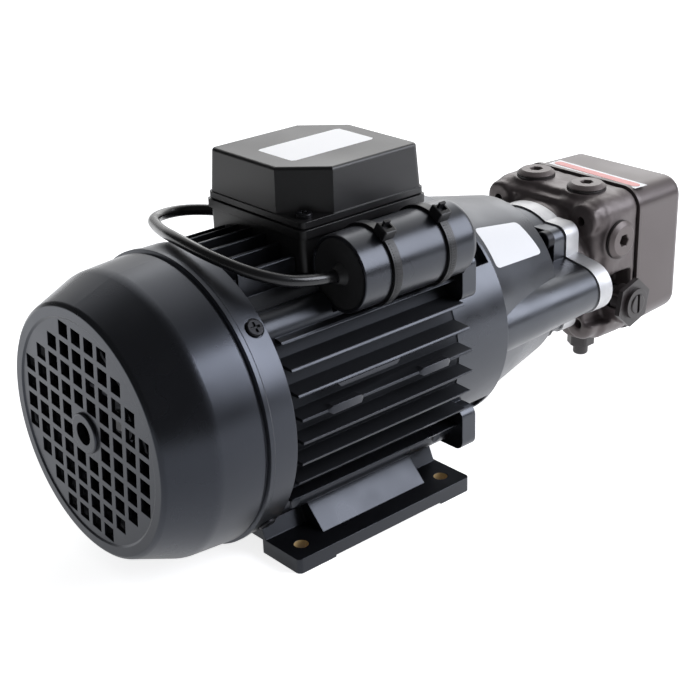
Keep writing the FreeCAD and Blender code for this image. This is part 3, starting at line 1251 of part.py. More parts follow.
def make_pump_inside():
    za = AXIS.v
    back = PUMP_BACK.v
    r = size("pump_shaft_radius").v
    thick = size("gear_thick").v
    gear0 = back + 3.0
    tip, tail = size("frame_end").v + 77, gear0 + thick + 5
    shaft = turned("pump_shaft", [(tip, 0), (tip, r - 1), (tip + 1, r), (tail, r), (tail, 0)])
    flat = block(gear0 - 0.5, gear0 + thick + 6, r - 1.2, r + 2, AXIS - 8, AXIS + 8)
    node("pump_shaft", remove(shaft, flat))
    front = PUMP_FRONT.v
    seal = turned("seal", [
        (front - 21.8, r + 0.05), (front - 14.6, r + 0.05), (front - 14.6, 9), (front - 21.8, 9)])
    node("shaft_seal", seal)
    e = size("gear_offset").v
    ring_r = 18.0
    housing = Part.makeCylinder(29, gear0 + thick - back - 0.02, Vector(back + 0.02, 0, za), XAXIS)
    housing = housing.cut(Part.makeCylinder(r + 0.04, 6, Vector(back - 1, 0, za), XAXIS))
    housing = housing.cut(Part.makeCylinder(ring_r + 0.05, thick + 2, Vector(gear0, 0, za - e), XAXIS))
    for s in (-1, 1):
        kidney = sector_solid(back - 1, gear0 + 1, 8.8, 11.2, 90 + s * 90, 55)
        kidney.translate(Vector(0, 0, za))
        housing = housing.cut(kidney)
    cover = Part.makeCylinder(29, 4, Vector(gear0 + thick + 0.02, 0, za), XAXIS)
    cover = cover.cut(Part.makeCylinder(r + 0.04, 6, Vector(gear0 + thick - 1, 0, za), XAXIS))
    bolts = []
    for y, z in gear_screw_places():
        hole = Part.makeCylinder(2.05, 30, Vector(back - 1, y, z), XAXIS)
        housing = housing.cut(hole)
        cover = cover.cut(hole)
        base = Vector(gear0 + thick + 4.04, y, z)
        bolts.append(screw_solid(base, Vector(-1, 0, 0), 2.0, 23, 3.5, 3.6, hex_across=3))
    node("gear_housing", shaped(housing, "housing"))
    node("gear_end_plate", shaped(cover, "cover"))
    node("gear_screws", shaped(Part.makeCompound(bolts), "bolts"))
    pitch, roller = 14.0, 4.5
    teeth = 7
    gear_ring = Part.makeCylinder(ring_r, thick - 0.2, Vector(gear0 + 0.04, 0, 0), XAXIS)
    gear_ring = gear_ring.cut(Part.makeCylinder(12.9, 30, Vector(gear0 - 5, 0, 0), XAXIS))
    pins = []
    for k in range(teeth):
        a = 2 * math.pi * k / teeth + math.pi / 2
        at = Vector(gear0 + 0.04, pitch * math.cos(a), pitch * math.sin(a))
        pin = Part.makeCylinder(roller, thick - 0.2, at, XAXIS)
        pins.append(pin.common(Part.makeCylinder(ring_r - 1, 40, Vector(gear0 - 5, 0, 0), XAXIS)))
    gear_ring = gear_ring.multiFuse(pins).removeSplitter()
    gear_ring.translate(Vector(0, 0, za - e))
    node("gear_ring", shaped(gear_ring, "ring"))
    path = trochoid(96, pitch, roller + 0.3, e, teeth)
    spline = Part.BSplineCurve()
    spline.interpolate([Vector(gear0 + 0.04, y, z) for y, z in path], PeriodicFlag=True)
    star = Part.Face(Part.Wire(spline.toShape())).extrude(Vector(thick - 0.2, 0, 0))
    star.rotate(Vector(0, 0, 0), XAXIS, 90)
    star = star.cut(Part.makeCylinder(r + 0.03, 40, Vector(gear0 - 5, 0, 0), XAXIS).cut(
        Part.makeBox(40, 4, 20, Vector(gear0 - 5, r - 1.17, -10))))
    star.translate(Vector(0, 0, za))
    node("gear_star", shaped(star, "star"))


make_pump_inside()


def make_hood():
    za, back, end, half = AXIS.v, PUMP_BACK.v, HOOD_END.v, size("pump_half").v

    def section(x, grow, corner):
        box = Part.makeBox(1, 2 * (half + grow), 2 * (half + grow), Vector(x, -half - grow, za - half - grow))
        box = box.makeFillet(corner, edges_at(box, along_x))
        return [f for f in box.Faces if abs(f.CenterOfMass.x - x) < 1e-6][0].OuterWire

    gasket = Part.Face(section(back + 0.02, -1.2, 10)).extrude(Vector(0.8, 0, 0))
    gasket = gasket.cut(Part.Face(section(back - 1, -5.5, 8)).extrude(Vector(4, 0, 0)))
    start = back + 0.85
    outer = Part.makeLoft([section(start, 0, 12), section(end, -1.6, 11)], True, True)
    outer = outer.makeFillet(6, edges_at(outer, lambda e: abs(e.CenterOfMass.x - end) < 0.01))
    flange = Part.Face(section(start, 1.0, 12.5)).extrude(Vector(2.6, 0, 0))
    hood = outer.fuse(flange).removeSplitter()
    hood = hood.cut(Part.makeLoft([section(start - 1, -2.2, 9.8), section(end - 2.2, -3.8, 8.8)], True, True))
    screws = []
    for sy in (-1, 1):
        for sz in (-1, 1):
            y, z = sy * (half - 10), za + sz * (half - 10)
            gasket = gasket.cut(Part.makeCylinder(2.3, 6, Vector(back - 2, y, z), XAXIS))
            hood = hood.cut(Part.makeCylinder(2.3, 60, Vector(back - 2, y, z), XAXIS))
            base, reach = Vector(end, y, z), end - back + 12
            screws.append(screw_solid(base, Vector(-1, 0, 0), 2.0, reach, 3.8, 3.2, hex_across=3))
    node("cover_gasket", shaped(gasket, "gasket"))
    node("pump_cover", shaped(hood, "hood"))
    node("cover_screws", shaped(Part.makeCompound(screws), "screws"))
    round_half = half - 6.5
    mesh = Part.makeCylinder(round_half, 24, Vector(back + 1.2, 0, za), XAXIS).cut(
        Part.makeCylinder(round_half - 0.8, 30, Vector(back, 0, za), XAXIS))
    hoops = []
    for x in (back + 1.0, back + 24.2):
        hoops.append(Part.makeCylinder(round_half + 0.6, 1.6, Vector(x, 0, za), XAXIS).cut(
            Part.makeCylinder(round_half - 1.4, 4, Vector(x - 1, 0, za), XAXIS)))
    node("strainer", shaped(mesh.multiFuse(hoops).removeSplitter(), "strainer"))


make_hood()

doc.recompute()
problems = 0
for name, obj in nodes.items():
    shape = obj.Shape
    bad = [s for s in obj.State if s in ("Invalid", "Error")]
    if bad or shape.isNull() or not shape.isValid():
        problems += 1
        print("PROBLEM", name, bad)
    shape.exportStep("parts/%s.step" % name)
    box = shape.BoundBox
    print("%-22s solids %2d  volume %9.1f  x %7.1f %7.1f  y %6.1f %6.1f  z %6.1f %6.1f" % (
        name, len(shape.Solids), shape.Volume, box.XMin, box.XMax, box.YMin, box.YMax, box.ZMin, box.ZMax))
for obj in doc.Objects:
    if any(s in ("Invalid", "Error") for s in obj.State):
        problems += 1
        print("PROBLEM in", obj.Name, obj.State)
print("nodes", len(nodes), "problems", problems)
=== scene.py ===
# %% [markdown]
# This is an oil burner pump together with its motor: fan cover, finned housing, terminal box,
# capacitor, bell housing, adapter plate and gear pump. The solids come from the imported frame, where
# each piece already rides on the body that carries it. This script dresses them, reshapes the few
# that are too crisp for cast or turned metal, adds the labels and the cord, and lights the set as
# the photograph does.

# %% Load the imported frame
import math
import bmesh
import bpy
from mathutils import Matrix, Vector


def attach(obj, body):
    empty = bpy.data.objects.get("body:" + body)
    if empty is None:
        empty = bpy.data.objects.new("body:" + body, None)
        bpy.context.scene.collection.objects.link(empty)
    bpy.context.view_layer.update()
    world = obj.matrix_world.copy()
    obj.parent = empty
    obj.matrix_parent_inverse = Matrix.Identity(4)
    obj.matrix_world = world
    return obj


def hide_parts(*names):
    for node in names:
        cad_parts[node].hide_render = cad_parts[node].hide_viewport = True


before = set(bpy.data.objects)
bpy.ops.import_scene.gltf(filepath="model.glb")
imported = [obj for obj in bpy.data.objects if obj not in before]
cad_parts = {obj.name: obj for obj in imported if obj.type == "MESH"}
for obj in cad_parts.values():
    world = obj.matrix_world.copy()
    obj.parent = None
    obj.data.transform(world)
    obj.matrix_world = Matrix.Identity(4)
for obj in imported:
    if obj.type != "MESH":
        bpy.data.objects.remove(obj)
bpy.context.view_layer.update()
MM = 0.001


# %% [markdown]
# The camera comes first, because it decides everything that follows. The photograph was taken from
# the fan end, a little above the motor, with a long lens. The place, the three angles and the focal
# length were solved from measured points: the square grid of holes in the fan cover, the foot
# holes, the corners of the terminal box lid and the shaft line.

# %% Camera
AZ, EL, ROLL = (math.radians(v) for v in (-40.718, 24.205, -1.984))
CAMERA_PLACE = (-0.3916, -0.4977, 0.3564)
SENSOR_MM = 36.0
LENS_MM = 73.24


def new_object(name, data):
    """A new object with this data, linked into the scene."""
    obj = bpy.data.objects.new(name, data)
    bpy.context.scene.collection.objects.link(obj)
    return obj


camera = new_object("photo_camera", bpy.data.cameras.new("photo_camera"))
back = Vector((math.sin(AZ) * math.cos(EL), -math.cos(AZ) * math.cos(EL), math.sin(EL)))
right = (-back).cross(Vector((0, 0, 1))).normalized()
up = right.cross(-back)
side_axis = right * math.cos(ROLL) + up * math.sin(ROLL)
top_axis = up * math.cos(ROLL) - right * math.sin(ROLL)
turn = Matrix((side_axis, top_axis, back)).transposed().to_4x4()
camera.matrix_world = Matrix.Translation(CAMERA_PLACE) @ turn
camera.data.sensor_width = SENSOR_MM
camera.data.lens = LENS_MM
camera.data.clip_start = 0.01
camera.data.clip_end = 50
bpy.context.scene.camera = camera
print("camera at", [round(v, 4) for v in camera.location])

# %% [markdown]
# The capacitor lead is a round cable of 5.5 mm that leaves the terminal box through a rubber
# grommet in the far wall, swings round the fan side of the box above the fins, and enters the
# capacitor's end. It is one bendy thing of a fixed length, so it is a curve and not a row of
# cylinders. The control points are the corners of the route that the CAD tube takes. A spline of
# order three passes close to them and stays round in every bend. Both ends are held, so the whole
# lead can be seen: its length is the route's own length. Each point carries the radius of the lead
# and the bevel is one unit deep, because Blender counts a point's radius into a curve's box, and the
# usual radius of one metre would make the box of this part far too large.

# %% Capacitor lead
LEAD_POINTS = [
    (1, 33, 135.2), (-11, 57, 135.8), (-38, 57, 137.4), (-52, 28, 141.6), (-61, 2, 146.2),
    (-61, -25, 144), (-53, -46, 139), (-36, -56.5, 133.5), (-16.5, -56.5, 132),
]
LEAD_RADIUS = 2.75
curve = bpy.data.curves.new("capacitor_lead_cable", "CURVE")
curve.dimensions = "3D"
spline = curve.splines.new("NURBS")
spline.points.add(len(LEAD_POINTS) - 1)
for point, place in zip(spline.points, LEAD_POINTS):
    point.co = [v * MM for v in place] + [1]
    point.radius = LEAD_RADIUS * MM
spline.order_u = 3
spline.use_endpoint_u = True
spline.resolution_u = 24
curve.bevel_depth = 1.0
curve.bevel_resolution = 6
curve.use_fill_caps = True
lead = new_object("capacitor_lead_cable", curve)


def curve_length(obj):
    """Length of a curve object's centreline, measured on a copy without its thickness."""
    copy = obj.data.copy()
    copy.bevel_depth = 0
    probe = new_object("probe", copy)
    mesh = probe.to_mesh()
    ends = [[mesh.vertices[i].co for i in edge.vertices] for edge in mesh.edges]
    total = sum((start - end).length for start, end in ends)
    probe.to_mesh_clear()
    bpy.data.objects.remove(probe)
    bpy.data.curves.remove(copy)
    return total


lead_length = curve_length(lead)
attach(lead, "frame")
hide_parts("capacitor_lead")
print("lead length", round(lead_length, 4))

# %% [markdown]
# Colours are written as sRGB hex values, the way a paint chart or a picture editor shows them.
# Blender's shaders work in linear light, so one function turns each value to linear, and nothing
# else in the file converts a colour. A second small function adds a shader node, sets its fields
# and links its inputs, so every material below reads as a list of what it is made of.


# %% Colour and node helpers
def linear(text):
    """An sRGB hex colour as linear red, green, blue and full alpha."""
    values = [int(text[i:i + 2], 16) / 255 for i in (1, 3, 5)]
    bright = [v / 12.92 if v <= 0.04045 else ((v + 0.055) / 1.055) ** 2.4 for v in values]
    return (*bright, 1.0)


def add(tree, kind, inputs=None, **fields):
    """Adds one node; inputs holds a value or another node's output socket for each input."""
    node = tree.nodes.new(kind)
    for name, value in fields.items():
        setattr(node, name, value)
    for key, value in (inputs or {}).items():
        if isinstance(value, bpy.types.NodeSocket):
            tree.links.new(value, node.inputs[key])
        else:
            node.inputs[key].default_value = value
    return node


def blank(name):
    """An empty material with its surface shader, ready to be linked."""
    mat = bpy.data.materials.new(name)
    mat.use_nodes = True
    tree = mat.node_tree
    tree.nodes.clear()
    shader = add(tree, "ShaderNodeBsdfPrincipled")
    add(tree, "ShaderNodeOutputMaterial", {"Surface": shader.outputs[0]})
    return mat, tree, shader


print("black", linear("#101114"))

# %% [markdown]
# Most of this object is black, so what tells one black from another is how it was made. A casting
# is sprayed with a semi-gloss paint over a fine sandy skin. A moulded box has an even grain that was
# etched into the mould. A cable sheath is extruded and almost smooth. One function holds what
# these have in common: a base colour with a slight drift, a grain whose size is given in
# millimetres, a longer waviness, and a roughness that wanders a little.


# %% One recipe, and the paint on the castings
def grained(name, colour, drift, rough, grain_mm, grain_depth, wave_mm=30.0, wave_depth=0.0,
            metallic=0.0, specular=0.5, edge_mm=0.3, tint="#ffffff"):
    """A solid finish with a fine grain and a longer waviness, sizes in millimetres."""
    mat, tree, shader = blank(name)
    place = add(tree, "ShaderNodeTexCoord").outputs["Object"]
    grain = add(tree, "ShaderNodeTexNoise",
                {"Vector": place, "Scale": 1 / (grain_mm * MM), "Detail": 3.0}).outputs["Fac"]
    wave = add(tree, "ShaderNodeTexNoise",
               {"Vector": place, "Scale": 1 / (wave_mm * MM), "Detail": 2.0}).outputs["Fac"]
    shade = add(tree, "ShaderNodeMix", {"Factor": wave, "A": linear(colour), "B": linear(drift)},
                data_type="RGBA")
    gloss = add(tree, "ShaderNodeMapRange", {"Value": wave, "From Min": 0.35, "From Max": 0.65,
                                             "To Min": rough - 0.04, "To Max": rough + 0.05})
    edge = add(tree, "ShaderNodeBevel", {"Radius": edge_mm * MM}, samples=4)
    skin = edge.outputs["Normal"]
    for height, depth in ((grain, grain_depth), (wave, wave_depth)):
        if depth:
            bump = add(tree, "ShaderNodeBump", {"Height": height, "Strength": 1.0,
                                                "Distance": depth * MM, "Normal": skin})
            skin = bump.outputs["Normal"]
    tree.links.new(shade.outputs["Result"], shader.inputs["Base Color"])
    tree.links.new(gloss.outputs["Result"], shader.inputs["Roughness"])
    tree.links.new(skin, shader.inputs["Normal"])
    shader.inputs["Metallic"].default_value = metallic
    shader.inputs["Specular IOR Level"].default_value = specular
    shader.inputs["Specular Tint"].default_value = linear(tint)
    return mat


# Stoved semi-gloss paint on die-cast aluminium: soft, slightly blue highlights over fine orange peel.
casting_paint = grained("stoved_paint_on_die_casting", "#0c0c0e", "#111114", 0.31, 1.6, 0.008, 22, 0.05,
                        specular=0.95, edge_mm=0.6, tint="#ecf2ff")
# The same paint on the motor housing, duller by use and handling.
housing_paint = grained("stoved_paint_drilled_feet", "#0c0c0e", "#111114", 0.31, 1.6, 0.008, 22, 0.05,
                        specular=0.65, edge_mm=0.6, tint="#ecf2ff")
print("paints", casting_paint.name, housing_paint.name)

# %% [markdown]
# The other blacks are moulded or extruded plastics. What differs from one to the next is the tool:
# a polished mould leaves broad soft highlights, a spark-eroded one an even matt grain, and a die
# for cable sheath a nearly smooth skin. Potting resin is cast into the capacitor's end and is dull.

# %% Moulded and extruded blacks
# Moulded fan cover in glass-filled nylon with a smooth tool: broad soft highlights.
cover_nylon = grained("moulded_nylon_fan_cover", "#0e0e10", "#121214", 0.30, 0.9, 0.004, 40, 0.04,
                      specular=1.0, edge_mm=0.4, tint="#e8efff")
# Terminal box moulded in a spark-eroded tool: an even matt grain.
box_plastic = grained("spark_grained_box_plastic", "#121112", "#151415", 0.42, 0.55, 0.012, 60, 0.02,
                      specular=0.6, edge_mm=0.5)
# Capacitor can, moulded smooth: satin, with a clear highlight along its top.
can_plastic = grained("satin_capacitor_can", "#101012", "#141417", 0.30, 0.8, 0.004, 50, 0.02,
                      specular=0.75, tint="#ecf2ff")
# Potting resin face of the capacitor: flat and dull.
resin = grained("potting_resin", "#1c1c1d", "#242425", 0.55, 2.5, 0.03, 12, 0.06)
# Nylon of ties and gland: dull moulded black.
tie_nylon = grained("cable_tie_nylon", "#101012", "#141416", 0.38, 0.7, 0.006)
# Extruded cable sheath: nearly smooth, faintly streaked gloss.
sheath = grained("extruded_cable_sheath", "#0e0e10", "#131315", 0.25, 0.8, 0.004, 18, 0.03,
                 specular=0.8)
# Moulded rubber of gasket and seals: dry and matt.
seal_rubber = grained("moulded_seal_rubber", "#101012", "#151517", 0.70, 0.6, 0.01)
print("materials so far", len(bpy.data.materials))

# %% [markdown]
# The pump is dark too, but next to the motor it is a warm brown. Its body is a sand casting with a
# coarse skin under thin paint, its cover is drawn from sheet, and the plugs are turned steel with a
# phosphate skin that drinks the light. The small fittings below are darker than the rest.

# %% Finishes of the pump
# Sand-cast iron under a thin dark brown paint: coarse skin, mid gloss, edges rounded by the sand.
pump_iron = grained("painted_sand_casting", "#3b3434", "#474040", 0.42, 2.4, 0.07, 14, 0.14,
                    specular=1.0, edge_mm=0.6, tint="#fff4f2")
# Deep-drawn sheet steel in dark paint: smooth, with a little waviness from the press.
drawn_steel = grained("painted_deep_drawn_sheet", "#3b3535", "#403939", 0.34, 1.2, 0.005, 35, 0.05,
                      specular=0.75, tint="#fff2f0")
# Phosphated steel of the port plugs: dark, dry, faintly metallic.
phosphated = grained("phosphated_steel", "#5a5251", "#665e5c", 0.38, 0.9, 0.008, metallic=0.35)
# Sealing washers under the plugs, painted over together with the pump.
washer_paint = grained("painted_sealing_washer", "#241f1f", "#2c2625", 0.5, 0.9, 0.01)
# Regulator nut and screw and the outlet fitting, painted dark with the pump and handled since.
dark_fitting = grained("painted_dark_fittings", "#272222", "#302a2a", 0.40, 0.9, 0.01, 8, 0.02,
                       specular=0.6)
# Black oxide on machine screws.
black_oxide = grained("black_oxide_screws", "#17171a", "#222226", 0.36, 0.8, 0.006, metallic=0.6)
print("finishes of motor and pump", len(bpy.data.materials))

# %% [markdown]
# Two places of the motor housing look unlike its paint. Both follow from the position alone, so a
# few sums on Object coordinates mask them, and no picture has to be painted. The first is the four
# foot holes. They were drilled after painting, so their walls are bare metal and look warm. All
# four corners are alike, so the coordinates are folded onto one of them, and the mask is the
# distance from that corner's hole.

# %% Bare walls of the foot holes
# A hole's place from the middle of the motor, how far its bare wall reaches, and the foot's top.
FOOT_HOLE = (45 * MM, 56 * MM, 0.0)
HOLE_REACH = 3.6 * MM
FOOT_TOP = 7.4 * MM
tree = housing_paint.node_tree
shader = next(n for n in tree.nodes if n.type == "BSDF_PRINCIPLED")
place = add(tree, "ShaderNodeTexCoord").outputs["Object"]
level = add(tree, "ShaderNodeSeparateXYZ", {0: place}).outputs["Z"]
folded = add(tree, "ShaderNodeVectorMath", {0: place}, operation="ABSOLUTE")
flat = add(tree, "ShaderNodeVectorMath", {0: folded.outputs[0], 1: (1.0, 1.0, 0.0)},
           operation="MULTIPLY")
away = add(tree, "ShaderNodeVectorMath", {0: flat.outputs[0], 1: FOOT_HOLE}, operation="DISTANCE")
in_wall = add(tree, "ShaderNodeMath", {0: away.outputs["Value"], 1: HOLE_REACH}, operation="LESS_THAN")
in_foot = add(tree, "ShaderNodeMath", {0: level, 1: FOOT_TOP}, operation="LESS_THAN")
bare = add(tree, "ShaderNodeMath", {0: in_wall.outputs[0], 1: in_foot.outputs[0]}, operation="MULTIPLY")
mixed = add(tree, "ShaderNodeMix",
            {"Factor": bare.outputs[0], "A": shader.inputs["Base Color"].links[0].from_socket,
             "B": linear("#b59c70")}, data_type="RGBA")
tree.links.new(mixed.outputs["Result"], shader.inputs["Base Color"])
print("housing paint with foot holes has", len(tree.nodes), "nodes")

# %% [markdown]
# The second place is the fins on the sides. Their sides are painted nearly black, as painted shade
# for the little light that reaches between the fins, and made dull, as the thin paint there is; their
# tips are painted paler, as a painted highlight where light catches them. The distance from the
# shaft's line tells sides from tips, and the height over or under that line keeps both masks away
# from the fins on top.

# %% Painted shade on the side fins' sides and painted highlight on their tips
# Height of the shaft line over the feet in millimetres. Most round shapes are about this line.
SHAFT_Z = 71.0
# Distances from the shaft line up to which it is a side, and from which it is a tip.
SIDES_TO = 68.6 * MM
TIPS_FROM = 69.3 * MM
# Heights over and under the shaft line up to which the masks are full, and at which they end.
FINS_FULL = 34.5 * MM
FINS_END = 35.5 * MM
across = add(tree, "ShaderNodeVectorMath", {0: place, 1: (0.0, 1.0, 1.0)}, operation="MULTIPLY")
radius = add(tree, "ShaderNodeVectorMath", {0: across.outputs[0], 1: (0.0, 0.0, SHAFT_Z * MM)},
             operation="DISTANCE")
deep = add(tree, "ShaderNodeMapRange", {"Value": radius.outputs["Value"], "From Min": TIPS_FROM,
                                        "From Max": SIDES_TO, "To Min": 0.0, "To Max": 1.0})
lifted = add(tree, "ShaderNodeMath", {0: level, 1: SHAFT_Z * MM}, operation="SUBTRACT")
height = add(tree, "ShaderNodeMath", {0: lifted.outputs[0]}, operation="ABSOLUTE")
beside = add(tree, "ShaderNodeMapRange", {"Value": height.outputs[0], "From Min": FINS_END,
                                          "From Max": FINS_FULL, "To Min": 0.0, "To Max": 1.0})
shaded_dull_sides = add(tree, "ShaderNodeMath", {0: deep.outputs[0], 1: beside.outputs[0]}, operation="MULTIPLY")
painted_highlight_tips = add(tree, "ShaderNodeMath", {0: beside.outputs[0], 1: shaded_dull_sides.outputs[0]}, operation="SUBTRACT")
# Painted shade: the sides' colour goes to near black. Painted highlight: the tips' colour goes paler.
# The sides' higher roughness is the dull paint between the fins.
for share, name, value, kind in ((shaded_dull_sides, "Base Color", linear("#040405"), "RGBA"),
                                 (painted_highlight_tips, "Base Color", linear("#232326"), "RGBA"),
                                 (shaded_dull_sides, "Roughness", 0.68, "FLOAT")):
    before = shader.inputs[name].links[0].from_socket
    mixed = add(tree, "ShaderNodeMix", {"Factor": share.outputs[0], "A": before, "B": value},
                data_type=kind)
    tree.links.new(mixed.outputs["Result"], shader.inputs[name])
print("housing paint with fins has", len(tree.nodes), "nodes")

# %% [markdown]
# The adapter plate is the one bright part of the set. It is an aluminium casting with its rim left
# as it came from the sand, so it is grey-white and dull, with small pits, and no paint. Ground
# steel, brass and the wound stator are inside and out of sight, but another view or an opened model
# shows them, so each gets its own plain metal.

# %% Bare metals and inner materials
# Raw aluminium as it left the sand: grey-white, dull and finely pitted.
cast_alu = grained("as_cast_aluminium", "#cfcfd0", "#b2b2b3", 0.50, 1.1, 0.06, 9, 0.12, metallic=0.88)
# Ground steel of shafts, bearings and gears: bright, cool and nearly smooth.
ground_steel = grained("ground_steel", "#b3b3b4", "#a2a2a3", 0.26, 0.5, 0.003, metallic=1.0)
# Stacked electrical sheet: dark grey, with the dull cut edges of many sheets.
sheet_stack = grained("stacked_electrical_sheet", "#6f7378", "#5b5f64", 0.42, 0.5, 0.02, metallic=0.9)
# Copper wire under enamel: deep red-brown and uneven, as bundled wire is.
copper_wire = grained("enamelled_copper_wire", "#8a4a22", "#6d3517", 0.35, 0.7, 0.08, metallic=0.6)
# Brass pressed from sheet: yellow, smooth and satin.
brass = grained("pressed_brass", "#b08d45", "#9a793a", 0.33, 0.8, 0.004, metallic=1.0)
# Urethane of the coupling's star: red, like stiff rubber, with a soft shine.
urethane = grained("moulded_urethane", "#a5281f", "#93231b", 0.45, 1.0, 0.006)
# Off-white plastic of the terminal block: even and half matt.
terminal_white = grained("moulded_terminal_block", "#d8d3c6", "#cfcabd", 0.5, 0.9, 0.006)
# Woven steel wire: light grey, with a fine rough grain drawn coarser than the real mesh.
wire_gauze = grained("woven_wire_gauze", "#a9a9a6", "#8f8f8c", 0.40, 0.5, 0.05, metallic=1.0)
print("all finishes", len(bpy.data.materials))

# %% [markdown]
# Each piece gets the finish of the way it is made, and not of the place where it sits. So the table
# goes from finish to pieces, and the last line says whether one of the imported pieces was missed.

# %% Dress the pieces
FINISH = {
    housing_paint: "motor_housing",
    casting_paint: "fan_end_shield bell_housing",
    cover_nylon: "fan_cover cooling_fan",
    box_plastic: "box_base box_lid",
    can_plastic: "capacitor_can",
    resin: "capacitor_end",
    tie_nylon: "cable_ties gland_body gland_nut lead_grommet",
    sheath: "capacitor_lead",
    seal_rubber: "box_gasket shaft_seal cover_gasket",
    pump_iron: "pump_body",
    drawn_steel: "pump_cover",
    phosphated: "port_plugs",
    dark_fitting: "regulator_nut regulator_screw outlet_fitting",
    black_oxide: "shield_screws fan_cover_screws lid_screws bell_screws adapter_screws lobe_screw "
                 "cover_screws",
    cast_alu: "adapter_plate rotor_end_rings motor_coupling_hub pump_coupling_hub",
    ground_steel: "motor_shaft shaft_key bearing_outer_rings bearing_inner_rings box_fixing_screws "
                  "pump_shaft pump_flange_screws hub_set_screw gear_ring gear_star gear_screws "
                  "gear_housing gear_end_plate spring_seat regulator_spring pressure_piston",
    sheet_stack: "stator_core rotor_core",
    copper_wire: "stator_windings",
    brass: "bearing_ball_cages terminal_studs",
    washer_paint: "plug_washers",
    urethane: "coupling_spider",
    terminal_white: "terminal_block",
    wire_gauze: "strainer",
}
dressed = set()
for mat, names in FINISH.items():
    for name in names.split():
        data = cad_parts[name].data
        data.materials.clear()
        data.materials.append(mat)
        dressed.add(name)
curve.materials.append(sheath)
missing = sorted(set(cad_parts) - dressed)
print("nodes dressed", len(dressed), "missing", missing)

# %% [markdown]
# Some solids are right in place and size but too crisp for a cast or turned piece, so a copy of each
# is reshaped and takes its place. Blender changes a mesh point by point through bmesh. A solid's
# mesh comes as loose triangles, so the copy has its doubled points merged before anything else. At
# the end it becomes an object with smooth faces, and only edges past a given angle stay sharp.


# %% Copies of solids
def copied(node):
    """A copy of a CAD node's mesh as bmesh data, with its doubled points merged."""
    shape = bmesh.new()
    shape.from_mesh(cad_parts[node].data)
    bmesh.ops.remove_doubles(shape, verts=shape.verts, dist=1e-6)
    return shape


def solid_piece(shape, name, finish, angle=30):
    """Turns bmesh data into an object with smooth faces that stay sharp past an angle."""
    mesh = bpy.data.meshes.new(name)
    shape.to_mesh(mesh)
    shape.free()
    if mesh.has_custom_normals:
        mesh.attributes.remove(mesh.attributes["custom_normal"])
    mesh.shade_smooth()
    mesh.set_sharp_from_angle(angle=math.radians(angle))
    mesh.materials.clear()
    mesh.materials.append(finish)
    return new_object(name, mesh)


cast = copied("pump_body")
print("pump body", len(cast.verts), "points", len(cast.faces), "triangles")

# %% [markdown]
# The pump body is a sand casting. Its solid has sharp edges and corners, and sand can't hold those.
# The first step towards a soft skin is to fill what is hollow: fillings between the corner bosses
# and the block, and lumps round the bosses and ports. They only have to overlap, because a later
# step joins them all.

# %% Raw shape of the pump casting
# The pump's face holes and ports, measured from the shaft line.
FACE_HOLE = 30.0
PORT = 18.3
# Fillings behind the corner bosses, above and on both sides, as lowest and highest corners.
WEBS = [((181, -37, 100), (189, 37, 108.6)), ((181, -37.6, 74), (189, -30, 108.6)),
        ((181, 30, 36), (189, 37.6, 108.6))]
# Lumps round the upper bosses and under the three ports, as middles and half sizes.
LUMPS = [((187, -FACE_HOLE, SHAFT_Z + FACE_HOLE), (9.6, 10.8, 10.8)),
         ((187, FACE_HOLE, SHAFT_Z + FACE_HOLE), (9.6, 10.8, 10.8)),
         ((192, -PORT, 106), (13, 14, 6)), ((192, PORT, 106), (13, 14, 6)),
         ((192, -35, SHAFT_Z + PORT), (13, 6, 14))]


def add_block(shape, low, high):
    """One more box in a mesh, from its lowest to its highest corner in millimetres."""
    place = Matrix.Translation([(a + b) / 2 * MM for a, b in zip(low, high)])
    grow = Matrix.Diagonal([(b - a) * MM for a, b in zip(low, high)] + [1.0])
    bmesh.ops.create_cube(shape, size=1.0, matrix=place @ grow)


def add_lump(shape, centre, radii):
    """One more egg-shaped lump in a mesh, sizes in millimetres."""
    place = Matrix.Translation([c * MM for c in centre])
    grow = Matrix.Diagonal([r * MM for r in radii] + [1.0])
    bmesh.ops.create_uvsphere(shape, u_segments=24, v_segments=16, radius=1.0, matrix=place @ grow)


for low, high in WEBS:
    add_block(cast, low, high)
for centre, radii in LUMPS:
    add_lump(cast, centre, radii)
casting = solid_piece(cast, "pump_casting", pump_iron, 60)
print("raw casting", len(casting.data.polygons), "faces")

# %% [markdown]
# What is taken out of the casting comes in two kinds. The open pocket beside the regulator is cast,
# so its edges have to become round like all the others. The holes are drilled, and a drill leaves
# clean round edges. So both are made here as loose shapes, to be used at different moments.

# %% Pocket and drills
# The pump's front face and the regulator's line, both along X.
PUMP_FRONT = 178.0
REGULATOR_X = 201.5
# The pocket's two steps, as lowest and highest corners.
POCKET = [((176, -48, 50.5), (193.5, -25, 69)), ((192, -48, 58.5), (208.4, -30, 69))]
# Start, direction, radius and length: four holes in the face, the shaft's and the regulator's.
HOLES = [((PUMP_FRONT - 4, side_y * FACE_HOLE, SHAFT_Z + side_z * FACE_HOLE), (1, 0, 0), 2.6, 16)
         for side_y in (-1, 1) for side_z in (-1, 1)]
HOLES += [((140, 0, SHAFT_Z), (1, 0, 0), 5.3, 100),
          ((REGULATOR_X, -52, SHAFT_Z - PORT), (0, 1, 0), 7.3, 42)]


def add_rod(shape, start, way, radius, length):
    """One more round rod in a mesh, from a point along a unit direction, sizes in millimetres."""
    turn = Vector((0, 0, 1)).rotation_difference(Vector(way)).to_matrix().to_4x4()
    middle = Vector(start) + Vector(way) * length / 2
    bmesh.ops.create_cone(shape, cap_ends=True, segments=40, radius1=radius * MM, radius2=radius * MM,
                          depth=length * MM, matrix=Matrix.Translation(middle * MM) @ turn)


pocket = bmesh.new()
for low, high in POCKET:
    add_block(pocket, low, high)
pocket_set = solid_piece(pocket, "pocket", black_oxide)
drills = bmesh.new()
for start, way, radius, length in HOLES:
    add_rod(drills, start, way, radius, length)
drill_set = solid_piece(drills, "drills", black_oxide)
print("pocket of", len(POCKET), "blocks,", len(HOLES), "drills")

